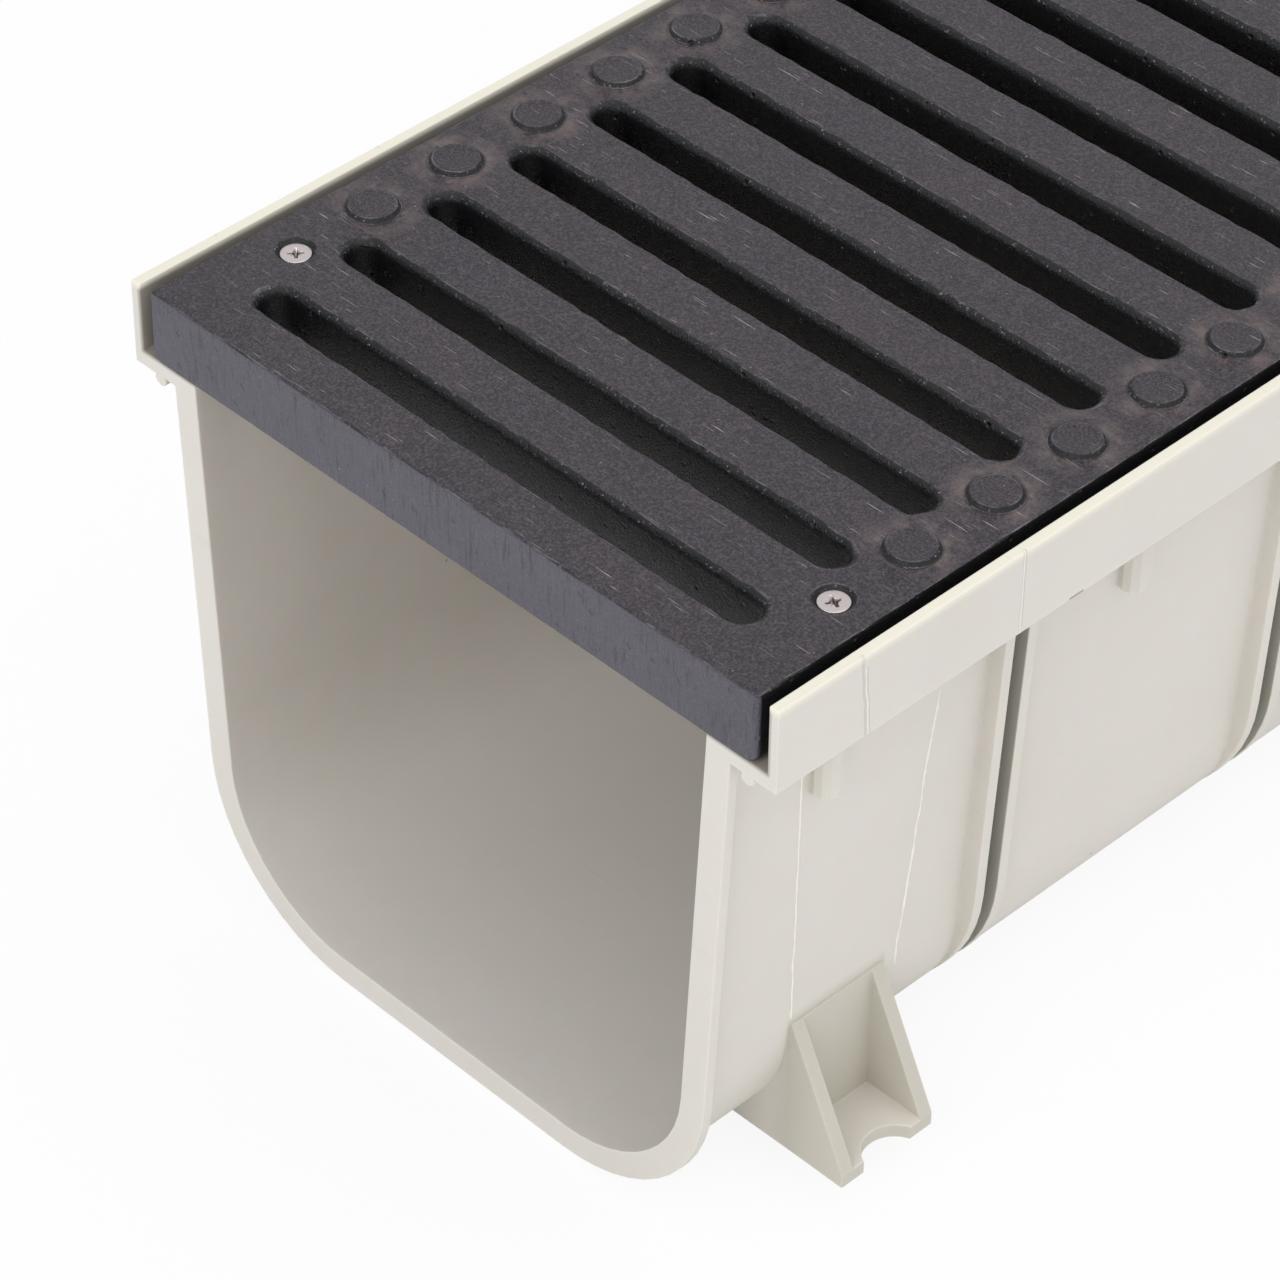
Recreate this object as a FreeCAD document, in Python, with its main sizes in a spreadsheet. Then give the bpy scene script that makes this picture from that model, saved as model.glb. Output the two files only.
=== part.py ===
import FreeCAD, Part

# Channel drain: a moulded channel one metre long, with two cast slotted grates lying end to
# end on its ledges. Each grate is held by four countersunk screws that bite into bosses under
# the ledges. Millimetres: X runs across the drain, Y along it and Z up. The origin is on the
# ground below the middle of the channel, and the near end is at -Y.
#
# Small round things that repeat, such as the studs, bosses and screws, are drawn with a few
# flat sides to keep the model light. Their diameters are measured across the flats.

import math
import os
import re
import Sketcher

doc = FreeCAD.newDocument("ChannelDrain")
sheet = doc.addObject("Spreadsheet::Sheet", "Sizes")

# --------------------------------------------------------------------------------------------
# Sizes: each driving dimension once, then what follows from them
# --------------------------------------------------------------------------------------------

DRIVING = [
    # grate
    ("grate_length", 499.5, "length of one grate"),
    ("grate_width", 200, "width of a grate"),
    ("grate_thickness", 19.5, "thickness of a grate"),
    ("grate_round", 3, "round along a grate's lower side edges"),
    ("grate_gap", 1, "gap between the two grates"),
    ("slot_pitch", 27.1, "distance from slot to slot"),
    ("slot_margin", 12, "least distance of a slot's middle from the grate's end"),
    ("slot_width", 9, "width of a slot at its throat"),
    ("slot_land", 7.4, "land between a slot's end and the row of screws and studs"),
    ("stud_diameter", 12.8, "diameter of a raised non-slip stud"),
    ("stud_height", 1.2, "height of a stud above the grate"),
    # screws
    ("row_offset", 3.3, "distance of the screw row outside the trough's throat"),
    ("screw_inset", 35.5, "distance of a screw from the end of its grate"),
    ("screw_length", 50, "length of a screw with its head"),
    ("screw_diameter", 4.2, "diameter of a screw's shank"),
    ("head_diameter", 7.8, "diameter of a screw's countersunk head"),
    ("head_rim", 0.3, "upright rim of a screw's head"),
    ("sink_diameter", 10, "top diameter of a 90 degree countersink in the grate"),
    ("hole_play", 0.8, "play of a shank in the grate's hole, on the diameter"),
    ("bore_play", 0.2, "play of a shank in its bore, on the diameter"),
    ("tip_play", 2, "free depth of a bore below its screw"),
    ("boss_diameter", 8, "diameter of a screw boss"),
    ("boss_floor", 3, "material left under a bore"),
    ("spare_inset", 139, "distance of a spare boss from the end of its grate"),
    # channel section
    ("channel_height", 182, "height of the lips above the ground"),
    ("side_gap", 3.4, "gap between a grate and the lip beside it"),
    ("lip_thickness", 2.9, "thickness of the upright lips"),
    ("ledge_width", 15.1, "width of the ledge under a grate's edge"),
    ("ledge_thickness", 4.3, "thickness of the ledge"),
    ("wall_thickness", 3.4, "thickness of the trough's wall"),
    ("wall_draft", 2.8, "lean of the trough's sides, in degrees"),
    ("corner_radius", 40, "inside radius of the trough's lower corners"),
    # end rims, ribs and pegs
    ("rim_band", 7.6, "width of a rim's end face, from the inside of the trough"),
    ("rim_depth", 3, "thickness of a rim along the drain"),
    ("rib_inset", 96, "distance of the first rib pair's middle from the near end"),
    ("rib_spacing", 100.5, "distance from rib pair to rib pair"),
    ("rib_margin", 40, "least distance of a pair's middle from the far end"),
    ("rib_thickness", 3.2, "thickness of a rib"),
    ("rib_gap", 4.6, "gap between the two ribs of a pair"),
    ("rib_height", 4.5, "height of a rib above the trough's side"),
    ("rib_sweep", 12, "how much larger a rib's corner radius is than the trough's"),
    ("peg_diameter", 3.8, "diameter of a locating peg under the ledge"),
    ("peg_drop", 2.7, "how far a peg shows below the ledge"),
    ("peg_inset", 8.8, "distance of a peg's middle from the lip's outer face"),
    ("peg_length", 5, "length of a peg along the drain"),
    # anchor feet
    ("foot_inset", 32.5, "distance of a foot from the end of the channel"),
    ("foot_width", 31, "width of a foot along the drain"),
    ("foot_length", 18.1, "how far a foot's floor stands out from its back wall"),
    ("foot_rise", 8.5, "height of a foot's underside above the ground"),
    ("foot_floor", 4, "thickness of a foot's floor"),
    ("foot_height", 41.5, "height of a foot"),
    ("gusset_thickness", 4, "thickness of a foot's two gussets"),
    ("back_step", 0.7, "how far a foot's back wall stands out from the trough's side"),
    ("back_thickness", 3, "thickness of a foot's back wall"),
    ("notch_width", 16, "width of the anchor-pin notch in a foot's outer edge"),
    ("notch_depth", 5.5, "depth of the anchor-pin notch"),
]

FOLLOWING = [
    ("channel_length", "2 * grate_length + grate_gap"),
    ("seat_level", "channel_height - grate_thickness"),
    ("ledge_underside", "seat_level - ledge_thickness"),
    ("ledge_middle", "seat_level - ledge_thickness / 2"),
    ("lip_inner", "grate_width / 2 + side_gap"),
    ("lip_outer", "lip_inner + lip_thickness"),
    ("throat_half", "grate_width / 2 - ledge_width"),
    ("row_reach", "throat_half + row_offset"),
    ("lean_rate", "tan(wall_draft * 1 deg)"),
    ("lean_scale", "1 / cos(wall_draft * 1 deg)"),
    ("corner_level", "rim_band + corner_radius"),
    ("corner_reach", "throat_half - (seat_level - corner_level) * lean_rate"
                     " - corner_radius * lean_scale"),
    ("outer_radius", "corner_radius + wall_thickness"),
    ("rim_radius", "corner_radius + rim_band"),
    ("rib_radius", "corner_radius + rib_sweep"),
    ("rib_level", "corner_level - outer_radius + wall_thickness / 4 + rib_radius"),
    ("rib_reach", "corner_reach + (outer_radius + rib_height - rib_radius) * lean_scale"
                  " + (rib_level - corner_level) * lean_rate"),
    ("rib_pair_pitch", "rib_thickness + rib_gap"),
    ("rib_start", "channel_length / 2 - rib_inset + (rib_thickness + rib_pair_pitch) / 2"),
    ("rib_count", "floor((channel_length - rib_inset - rib_margin) / rib_spacing) + 1"),
    ("peg_reach", "lip_outer - peg_inset"),
    ("peg_level", "ledge_underside - peg_drop + peg_diameter / 2"),
    ("slot_count", "floor((grate_length - 2 * slot_margin) / slot_pitch) + 1"),
    ("slot_start", "(slot_count - 1) * slot_pitch / 2"),
    ("slot_centre", "row_reach - slot_land - slot_width / 2"),
    ("stud_count", "slot_count - 3"),
    ("stud_start", "slot_start - 1.5 * slot_pitch"),
    ("grate_station", "(grate_length + grate_gap) / 2"),
    ("screw_station", "grate_length / 2 - screw_inset"),
    ("spare_station", "grate_length / 2 - spare_inset"),
    ("hole_diameter", "screw_diameter + hole_play"),
    ("bore_diameter", "screw_diameter + bore_play"),
    ("sink_depth", "(sink_diameter - hole_diameter) / 2"),
    ("head_depth", "(head_diameter - screw_diameter) / 2"),
    ("head_level", "channel_height - (sink_diameter - head_diameter) / 2 + head_rim"),
    ("tip_level", "head_level - screw_length"),
    ("bore_level", "tip_level - tip_play"),
    ("boss_level", "bore_level - boss_floor"),
    ("back_reach", "corner_reach + outer_radius * lean_scale + back_step"),
    ("foot_reach", "back_reach + foot_length"),
    ("foot_start", "channel_length / 2 - foot_inset"),
    ("foot_middle", "foot_start - foot_width / 2"),
    ("notch_radius", "notch_depth / 2 + notch_width * notch_width / 8 / notch_depth"),
]


def write_sizes():
    """Fill the sheet with a row for each size: its name, its value and what it is."""
    rows = [(name, str(value), note) for name, value, note in DRIVING]
    rows += [(name, "=" + rule, "follows") for name, rule in FOLLOWING]
    for row, (name, content, note) in enumerate(rows, start=1):
        sheet.set(f"A{row}", name)
        sheet.set(f"B{row}", content)
        sheet.set(f"C{row}", note)
        sheet.setAlias(f"B{row}", name)
    doc.recompute()


# --------------------------------------------------------------------------------------------
# Helpers: formulas, sketches and features
# --------------------------------------------------------------------------------------------

ORIGIN, ACROSS_AXIS, UP_AXIS = (-1, 1), -1, -2
START, END, CENTRE = 1, 2, 3


def rule(text):
    """Formula with every size name in it, a word with an underscore, read from the sheet."""
    return re.sub(r"\b([a-z]+(?:_[a-z]+)+)\b", r"Sizes.\1", text)


def value(text):
    """Present value of a formula, used to draw a sketch close to its final form."""
    return float(sheet.evalExpression(rule(text)))


def new_body(label):
    body = doc.addObject("PartDesign::Body", label)
    body.Label = label
    return body


def datum(body, role):
    return next(item for item in body.Origin.OriginFeatures if item.Role == role)


def new_sketch(body, name, plane, offset="0"):
    """Sketch on one of the body's origin planes, moved along the plane's normal."""
    sketch = body.newObject("Sketcher::SketchObject", name)
    sketch.AttachmentSupport = [(datum(body, plane), "")]
    sketch.MapMode = "FlatFace"
    sketch.setExpression(".AttachmentOffset.Base.z", rule(offset))
    return sketch


def relate(sketch, kind, *items):
    return sketch.addConstraint(Sketcher.Constraint(kind, *items))


def dimension(sketch, kind, items, text):
    """Dimension that holds a formula's value."""
    index = relate(sketch, kind, *items, value(text))
    sketch.setExpression(f"Constraints[{index}]", rule(text))


def locate(sketch, item, point, across, up):
    """Hold a point at two formulas, measured across and up from the sketch's origin."""
    if across == "0":
        relate(sketch, "PointOnObject", item, point, UP_AXIS)
    else:
        dimension(sketch, "DistanceX", (*ORIGIN, item, point), across)
    if up == "0":
        relate(sketch, "PointOnObject", item, point, ACROSS_AXIS)
    else:
        dimension(sketch, "DistanceY", (*ORIGIN, item, point), up)


def draw_line(sketch, start, end):
    return sketch.addGeometry(
        Part.LineSegment(FreeCAD.Vector(*start, 0), FreeCAD.Vector(*end, 0)), False)


def draw_circle(sketch, centre, radius):
    return sketch.addGeometry(
        Part.Circle(FreeCAD.Vector(*centre, 0), FreeCAD.Vector(0, 0, 1), radius), False)


def draw_arc(sketch, centre, radius, start, end):
    """Arc drawn anticlockwise between two angles in degrees."""
    whole = Part.Circle(FreeCAD.Vector(*centre, 0), FreeCAD.Vector(0, 0, 1), radius)
    return sketch.addGeometry(
        Part.ArcOfCircle(whole, math.radians(start), math.radians(end)), False)


def outline(sketch, corners):
    """Closed outline of straight lines, with each corner at a pair of formulas."""
    spots = [(value(across), value(up)) for across, up in corners]
    lines = [draw_line(sketch, spots[k - 1], spots[k]) for k in range(len(spots))]
    for k, (across, up) in enumerate(corners):
        relate(sketch, "Coincident", lines[k - 1], END, lines[k], START)
        locate(sketch, lines[k], END, across, up)


def trough_outline(sketch, reach, level, radius, top, corners):
    """Closed right half of a trough section.

    It runs along the bottom, round the lower corner and up the leaning side to the top level,
    then in straight lines through the corners and back down the middle.
    """
    lean = value("wall_draft")
    centre = (value(reach), value(level))
    size = value(radius)
    foot = (centre[0], centre[1] - size)
    turn = (centre[0] + size * math.cos(math.radians(lean)),
            centre[1] - size * math.sin(math.radians(lean)))
    rise = value(top) - turn[1]
    head = (turn[0] + rise * math.tan(math.radians(lean)), value(top))

    bottom = draw_line(sketch, (0, foot[1]), foot)
    corner = draw_arc(sketch, centre, size, -90, -lean)
    side = draw_line(sketch, turn, head)
    relate(sketch, "PointOnObject", bottom, START, UP_AXIS)
    relate(sketch, "Horizontal", bottom)
    relate(sketch, "Tangent", bottom, END, corner, START)
    relate(sketch, "Tangent", corner, END, side, START)
    locate(sketch, corner, CENTRE, reach, level)
    dimension(sketch, "Radius", (corner,), radius)
    dimension(sketch, "DistanceY", (*ORIGIN, side, END), top)
    index = relate(sketch, "Angle", side, math.radians(90 - lean))
    sketch.setExpression(f"Constraints[{index}]", rule("(90 - wall_draft) * 1 deg"))

    last, spot = side, head
    for across, up in corners:
        target = (value(across), value(up))
        piece = draw_line(sketch, spot, target)
        relate(sketch, "Coincident", last, END, piece, START)
        locate(sketch, piece, END, across, up)
        last, spot = piece, target
    closing = draw_line(sketch, spot, (0, foot[1]))
    relate(sketch, "Coincident", last, END, closing, START)
    relate(sketch, "Coincident", closing, END, bottom, START)


def circle_at(sketch, diameter, across, up):
    item = draw_circle(sketch, (value(across), value(up)), value(diameter) / 2)
    locate(sketch, item, CENTRE, across, up)
    dimension(sketch, "Diameter", (item,), diameter)


def polygon_at(sketch, sides, diameter, across, up):
    """Regular polygon, a diameter wide across its flats, with a corner level with its centre."""
    radius = f"({diameter}) / 2 / cos(180 / {sides} * 1 deg)"
    centre, size = (value(across), value(up)), value(radius)
    ring = draw_circle(sketch, centre, size)
    sketch.setConstruction(ring, True)
    turns = [2 * math.pi * k / sides for k in range(sides)]
    spots = [(centre[0] + size * math.cos(t), centre[1] + size * math.sin(t)) for t in turns]
    lines = [draw_line(sketch, spots[k - 1], spots[k]) for k in range(sides)]
    for k, item in enumerate(lines):
        relate(sketch, "Coincident", lines[k - 1], END, item, START)
        relate(sketch, "PointOnObject", item, START, ring)
        if k:
            relate(sketch, "Equal", lines[0], item)
    relate(sketch, "Horizontal", ring, CENTRE, lines[0], END)
    locate(sketch, ring, CENTRE, across, up)
    dimension(sketch, "Radius", (ring,), radius)


def extrude(body, kind, name, sketch, length, reverse=False, symmetric=False):
    """Pad or pocket of a sketch, to a length given by a formula."""
    feature = body.newObject("PartDesign::" + kind, name)
    feature.Profile = sketch
    feature.setExpression("Length", rule(length))
    feature.Reversed = reverse
    feature.SideType = "Symmetric" if symmetric else "One side"
    finish(body, feature)
    return feature


def pattern(body, name, originals, axis, spacing, count, reverse=False):
    """Row of features at a spacing along one of the body's axes."""
    feature = body.newObject("PartDesign::LinearPattern", name)
    feature.Originals = originals
    feature.Direction = (datum(body, axis), [""])
    feature.Mode = "Spacing"
    feature.setExpression("Offset", rule(spacing))
    feature.setExpression("Occurrences", rule(count))
    feature.Reversed = reverse
    finish(body, feature)
    return feature


def mirror(body, name, plane, originals=None):
    """Mirror image of some features, or of the whole body, in one of its planes."""
    feature = body.newObject("PartDesign::Mirrored", name)
    if originals:
        feature.Originals = originals
    else:
        feature.TransformMode = "Whole shape"
    feature.MirrorPlane = (datum(body, plane), [""])
    finish(body, feature)
    return feature


def level_at(edge, height):
    """Whether an edge lies flat at a height given by a formula."""
    box = edge.BoundBox
    return max(abs(box.ZMin - value(height)), abs(box.ZMax - value(height))) < 0.001


def chamfer(body, name, wanted, size):
    """Even chamfer along the edges of the latest feature that pass a test."""
    base = body.Tip
    names = [f"Edge{k}" for k, edge in enumerate(base.Shape.Edges, start=1) if wanted(edge)]
    feature = body.newObject("PartDesign::Chamfer", name)
    feature.Base = (base, names)
    feature.setExpression("Size", rule(size))
    finish(body, feature)


def finish(body, feature):
    """Make the feature the body's latest and make sure that it changed the solid."""
    before = feature.BaseFeature.Shape.Volume if feature.BaseFeature else 0.0
    body.Tip = feature
    doc.recompute()
    if abs(feature.Shape.Volume - before) < 0.01:
        raise RuntimeError(f"{feature.Label} leaves the solid as it was")


# --------------------------------------------------------------------------------------------
# Channel: one moulding with its trough, ledges, lips, end rims, ribs, bosses and anchor feet
# --------------------------------------------------------------------------------------------

def build_channel():
    """The right half is modelled along the whole length, then mirrored to the left."""
    body = new_body("channel")

    form = new_sketch(body, "FormSection", "XZ_Plane")
    trough_outline(form, "corner_reach", "corner_level", "outer_radius", "ledge_underside", [
        ("lip_outer", "ledge_underside"),
        ("lip_outer", "channel_height"),
        ("0", "channel_height"),
    ])
    extrude(body, "Pad", "Form", form, "channel_length", symmetric=True)

    # Ribs come in pairs and fade out into the trough's bottom.
    ribs = []
    for name, start in (("FirstRib", "rib_start"), ("SecondRib", "rib_start - rib_pair_pitch")):
        rib = new_sketch(body, name + "Section", "XZ_Plane", start)
        trough_outline(rib, "rib_reach", "rib_level", "rib_radius", "ledge_middle", [
            ("0", "ledge_middle"),
        ])
        ribs.append(extrude(body, "Pad", name, rib, "rib_thickness", reverse=True))
    pattern(body, "RibPairs", ribs, "Y_Axis", "rib_spacing", "rib_count")

    # What both ends have is modelled at the far end and mirrored to the near one.
    rim = new_sketch(body, "RimSection", "XZ_Plane", "-channel_length / 2")
    trough_outline(rim, "corner_reach", "corner_level", "rim_radius", "ledge_middle", [
        ("0", "ledge_middle"),
    ])
    ends = [extrude(body, "Pad", "Rim", rim, "rim_depth")]

    peg = new_sketch(body, "PegSection", "XZ_Plane", "-channel_length / 2")
    polygon_at(peg, 12, "peg_diameter", "peg_reach", "peg_level")
    ends.append(extrude(body, "Pad", "Peg", peg, "peg_length"))

    ends += build_foot(body)
    ends += build_bosses(body)
    mirror(body, "BothEnds", "XZ_Plane", ends)

    # The trough and the recess for the grates are cut right through.
    hollow = new_sketch(body, "HollowSection", "XZ_Plane")
    trough_outline(hollow, "corner_reach", "corner_level", "corner_radius", "seat_level", [
        ("lip_inner", "seat_level"),
        ("lip_inner", "channel_height"),
        ("0", "channel_height"),
    ])
    extrude(body, "Pocket", "Hollow", hollow, "channel_length", symmetric=True)
    mirror(body, "BothSides", "YZ_Plane")


def build_foot(body):
    """Anchor foot: two gussets, a back wall and a floor with a notch for an anchor pin."""
    features = []
    for name, start in (("OuterGusset", "foot_start"),
                        ("InnerGusset", "foot_start - foot_width + gusset_thickness")):
        sketch = new_sketch(body, name + "Section", "XZ_Plane", f"-({start})")
        outline(sketch, [
            ("corner_reach", "foot_rise"),
            ("foot_reach", "foot_rise"),
            ("foot_reach", "foot_rise + foot_floor"),
            ("back_reach", "foot_rise + foot_height"),
            ("corner_reach", "foot_rise + foot_height"),
        ])
        features.append(extrude(body, "Pad", name, sketch, "gusset_thickness"))

    back = new_sketch(body, "FootBackSection", "XZ_Plane", "-foot_start")
    outline(back, [
        ("back_reach - back_thickness", "foot_rise"),
        ("back_reach", "foot_rise"),
        ("back_reach", "foot_rise + foot_height"),
        ("back_reach - back_thickness", "foot_rise + foot_height"),
    ])
    features.append(extrude(body, "Pad", "FootBack", back, "foot_width"))

    floor = new_sketch(body, "FootFloorSection", "XZ_Plane", "-foot_start")
    outline(floor, [
        ("back_reach - back_thickness", "foot_rise"),
        ("foot_reach", "foot_rise"),
        ("foot_reach", "foot_rise + foot_floor"),
        ("back_reach - back_thickness", "foot_rise + foot_floor"),
    ])
    features.append(extrude(body, "Pad", "FootFloor", floor, "foot_width"))

    notch = new_sketch(body, "NotchOutline", "XY_Plane", "foot_rise + foot_floor")
    circle_at(notch, "2 * notch_radius", "foot_reach - notch_depth + notch_radius",
              "foot_middle")
    features.append(extrude(body, "Pocket", "Notch", notch, "foot_floor"))
    return features


def build_bosses(body):
    """Bosses under the ledge: two spare ones for each grate, and two with a bore for a screw."""
    used = ["grate_station + screw_station", "grate_station - screw_station"]
    spare = ["grate_station + spare_station", "grate_station - spare_station"]
    boss = new_sketch(body, "BossOutline", "XY_Plane", "ledge_middle")
    for along in used + spare:
        polygon_at(boss, 12, "boss_diameter", "row_reach", along)
    bosses = extrude(body, "Pad", "Bosses", boss, "ledge_middle - boss_level", reverse=True)
    bore = new_sketch(body, "BoreOutline", "XY_Plane", "seat_level")
    for along in used:
        polygon_at(bore, 8, "bore_diameter", "row_reach", along)
    bores = extrude(body, "Pocket", "Bores", bore, "seat_level - bore_level")
    return [bosses, bores]


# --------------------------------------------------------------------------------------------
# Grate: a cast plate with a row of slots, two rows of studs and four countersunk holes
# --------------------------------------------------------------------------------------------

def build_grate(label, station):
    """The grate's own origin is the middle of its underside."""
    body = new_body(label)

    half = new_sketch(body, "PlateSection", "XZ_Plane")
    edge = value("grate_width / 2")
    curve = value("grate_round")
    top = value("grate_thickness")
    under = draw_line(half, (0, 0), (edge - curve, 0))
    corner = draw_arc(half, (edge - curve, curve), curve, -90, 0)
    side = draw_line(half, (edge, curve), (edge, top))
    upper = draw_line(half, (edge, top), (0, top))
    middle = draw_line(half, (0, top), (0, 0))
    relate(half, "Coincident", under, START, *ORIGIN)
    relate(half, "Horizontal", under)
    relate(half, "Tangent", under, END, corner, START)
    relate(half, "Tangent", corner, END, side, START)
    relate(half, "Vertical", side)
    relate(half, "Coincident", side, END, upper, START)
    relate(half, "Coincident", upper, END, middle, START)
    relate(half, "Coincident", middle, END, under, START)
    relate(half, "Vertical", middle)
    dimension(half, "Radius", (corner,), "grate_round")
    locate(half, side, END, "grate_width / 2", "grate_thickness")
    relate(half, "Horizontal", upper)
    extrude(body, "Pad", "HalfPlate", half, "grate_length", symmetric=True)

    # The countersunk holes and the studs are made on the right half, then mirrored with it.
    hole = new_sketch(body, "HoleOutline", "XY_Plane", "grate_thickness")
    polygon_at(hole, 12, "hole_diameter", "row_reach", "screw_station")
    holes = extrude(body, "Pocket", "ScrewHole", hole, "grate_thickness")
    mirror(body, "BothHoles", "XZ_Plane", [holes])
    border = value("hole_diameter")

    def round_a_hole(edge):
        place = edge.CenterOfMass
        aside = math.hypot(place.x - value("row_reach"), abs(place.y) - value("screw_station"))
        return aside < border and level_at(edge, "grate_thickness")

    chamfer(body, "Countersinks", round_a_hole, "sink_depth")

    stud = new_sketch(body, "StudOutline", "XY_Plane", "grate_thickness")
    polygon_at(stud, 10, "stud_diameter", "row_reach", "stud_start")
    studs = extrude(body, "Pad", "Stud", stud, "stud_height")
    pattern(body, "Studs", [studs], "Y_Axis", "slot_pitch", "stud_count", reverse=True)
    mirror(body, "BothSides", "YZ_Plane")

    slot = slot_sketch(body)
    slots = extrude(body, "Pocket", "Slot", slot, "grate_thickness")
    pattern(body, "Slots", [slots], "Y_Axis", "slot_pitch", "slot_count", reverse=True)

    body.setExpression(".Placement.Base.y", rule(station))
    body.setExpression(".Placement.Base.z", rule("seat_level"))


def slot_sketch(body):
    """Round-ended slot across the grate, the last of the row."""
    sketch = new_sketch(body, "SlotOutline", "XY_Plane", "grate_thickness")
    reach = value("slot_centre")
    level = value("slot_start")
    size = value("slot_width / 2")
    right = draw_arc(sketch, (reach, level), size, -90, 90)
    left = draw_arc(sketch, (-reach, level), size, 90, 270)
    far = draw_line(sketch, (reach, level + size), (-reach, level + size))
    near = draw_line(sketch, (-reach, level - size), (reach, level - size))
    relate(sketch, "Tangent", right, END, far, START)
    relate(sketch, "Tangent", far, END, left, START)
    relate(sketch, "Tangent", left, END, near, START)
    relate(sketch, "Tangent", near, END, right, START)
    relate(sketch, "Horizontal", far)
    relate(sketch, "Symmetric", right, CENTRE, left, CENTRE, UP_AXIS)
    locate(sketch, right, CENTRE, "slot_centre", "slot_start")
    dimension(sketch, "Radius", (right,), "slot_width / 2")
    return sketch


# --------------------------------------------------------------------------------------------
# Screw: countersunk head and shank
# --------------------------------------------------------------------------------------------

def build_screw(label, across, along):
    """The screw's own origin is the end of its shank."""
    body = new_body(label)
    head = new_sketch(body, "HeadOutline", "XY_Plane", "screw_length")
    polygon_at(head, 12, "head_diameter", "0", "0")
    extrude(body, "Pad", "Head", head, "head_rim + head_depth", reverse=True)
    underside = "screw_length - head_rim - head_depth"
    chamfer(body, "Taper", lambda edge: level_at(edge, underside), "head_depth")
    shank = new_sketch(body, "ShankOutline", "XY_Plane")
    polygon_at(shank, 8, "screw_diameter", "0", "0")
    extrude(body, "Pad", "Shank", shank, "screw_length - head_rim")
    body.setExpression(".Placement.Base.x", rule(across))
    body.setExpression(".Placement.Base.y", rule(along))
    body.setExpression(".Placement.Base.z", rule("tip_level"))


# --------------------------------------------------------------------------------------------
# Assembly and export
# --------------------------------------------------------------------------------------------

write_sizes()
build_channel()
for end, sign in (("front", "-"), ("rear", "+")):
    build_grate(f"grate_{end}", f"{sign}grate_station")
    for place, offset in (("outer", sign), ("inner", "-" if sign == "+" else "+")):
        for hand, across in (("left", "-row_reach"), ("right", "row_reach")):
            build_screw(f"screw_{end}_{place}_{hand}", across,
                        f"{sign}grate_station {offset} screw_station")
doc.recompute()

for item in doc.Objects:
    if "Invalid" in item.State or "Error" in item.State:
        raise RuntimeError(f"{item.Label} failed: {item.State}")

pieces = [item for item in doc.Objects if item.TypeId == "PartDesign::Body"]
for piece in pieces:
    if piece.Shape.isNull() or not piece.Shape.isValid() or len(piece.Shape.Solids) != 1:
        raise RuntimeError(f"{piece.Label} is not one sound solid")

os.makedirs("parts", exist_ok=True)
for piece in pieces:
    piece.Shape.exportStep(f"parts/{piece.Label}.step")
    box = piece.Shape.BoundBox
    print(f"{piece.Label}: {piece.Shape.Volume / 1000:.1f} cm3, "
          f"x {box.XMin:.2f} to {box.XMax:.2f}, y {box.YMin:.2f} to {box.YMax:.2f}, "
          f"z {box.ZMin:.2f} to {box.ZMax:.2f}")
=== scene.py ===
# %% [markdown]
# # Channel drain
# A channel drain is a long trough let into the ground, with a grate on top that people and
# wheels can cross. This one is a metre long: one moulded plastic channel, two cast-iron grates
# laid end to end in it, and four steel screws through each grate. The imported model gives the
# true shape and size, so every piece below takes its place from it, in metres, with +Z up and
# the channel running along Y.

import math

import bmesh
import bpy
from mathutils import Matrix, Vector, noise
from mathutils.bvhtree import BVHTree


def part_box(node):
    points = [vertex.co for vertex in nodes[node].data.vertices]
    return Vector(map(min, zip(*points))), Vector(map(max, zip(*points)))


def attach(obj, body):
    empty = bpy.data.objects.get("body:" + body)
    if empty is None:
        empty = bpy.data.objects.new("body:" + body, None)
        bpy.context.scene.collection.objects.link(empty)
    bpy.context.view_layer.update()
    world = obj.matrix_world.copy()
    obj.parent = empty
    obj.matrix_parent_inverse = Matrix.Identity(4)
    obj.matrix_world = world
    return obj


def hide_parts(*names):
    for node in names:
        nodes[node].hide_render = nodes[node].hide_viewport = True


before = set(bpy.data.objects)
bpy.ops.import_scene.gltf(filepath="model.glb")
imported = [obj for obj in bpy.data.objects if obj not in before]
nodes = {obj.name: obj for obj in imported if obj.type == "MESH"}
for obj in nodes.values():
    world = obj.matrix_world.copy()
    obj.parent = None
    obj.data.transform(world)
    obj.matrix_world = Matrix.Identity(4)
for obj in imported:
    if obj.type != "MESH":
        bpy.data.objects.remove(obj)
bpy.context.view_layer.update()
channel = nodes["channel"]
MM = 0.001
print("nodes:", ", ".join(sorted(nodes)))

# %% [markdown]
# ## Two small tools
# Colours are easiest to note as sRGB hex values, but shaders work in linear light, so one
# function turns the first into the second. Shader nodes are always made in the same three
# steps (create, set, link), so a second function does all three: a value in `inputs` that is
# another node or a socket is linked, and anything else is set on the socket. A colour Mix node
# takes its two colours at inputs 6 and 7, the share of the second at 0, and gives output 2.

# %% Colour and node helpers
def colour(hex_value):
    """sRGB hex, such as "#DAD3CA", as linear RGBA."""
    channels = [int(hex_value[i : i + 2], 16) / 255 for i in (1, 3, 5)]
    return [c / 12.92 if c <= 0.04045 else ((c + 0.055) / 1.055) ** 2.4 for c in channels] + [1.0]


def add(tree, kind, inputs=None, **settings):
    """A shader node with its settings made and its inputs set or linked."""
    node = tree.nodes.new("ShaderNode" + kind)
    for name, setting in settings.items():
        setattr(node, name, setting)
    for name, given in (inputs or {}).items():
        if isinstance(given, bpy.types.Node):
            given = given.outputs[0]
        if isinstance(given, bpy.types.NodeSocket):
            tree.links.new(given, node.inputs[name])
        else:
            node.inputs[name].default_value = given
    return node


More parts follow.
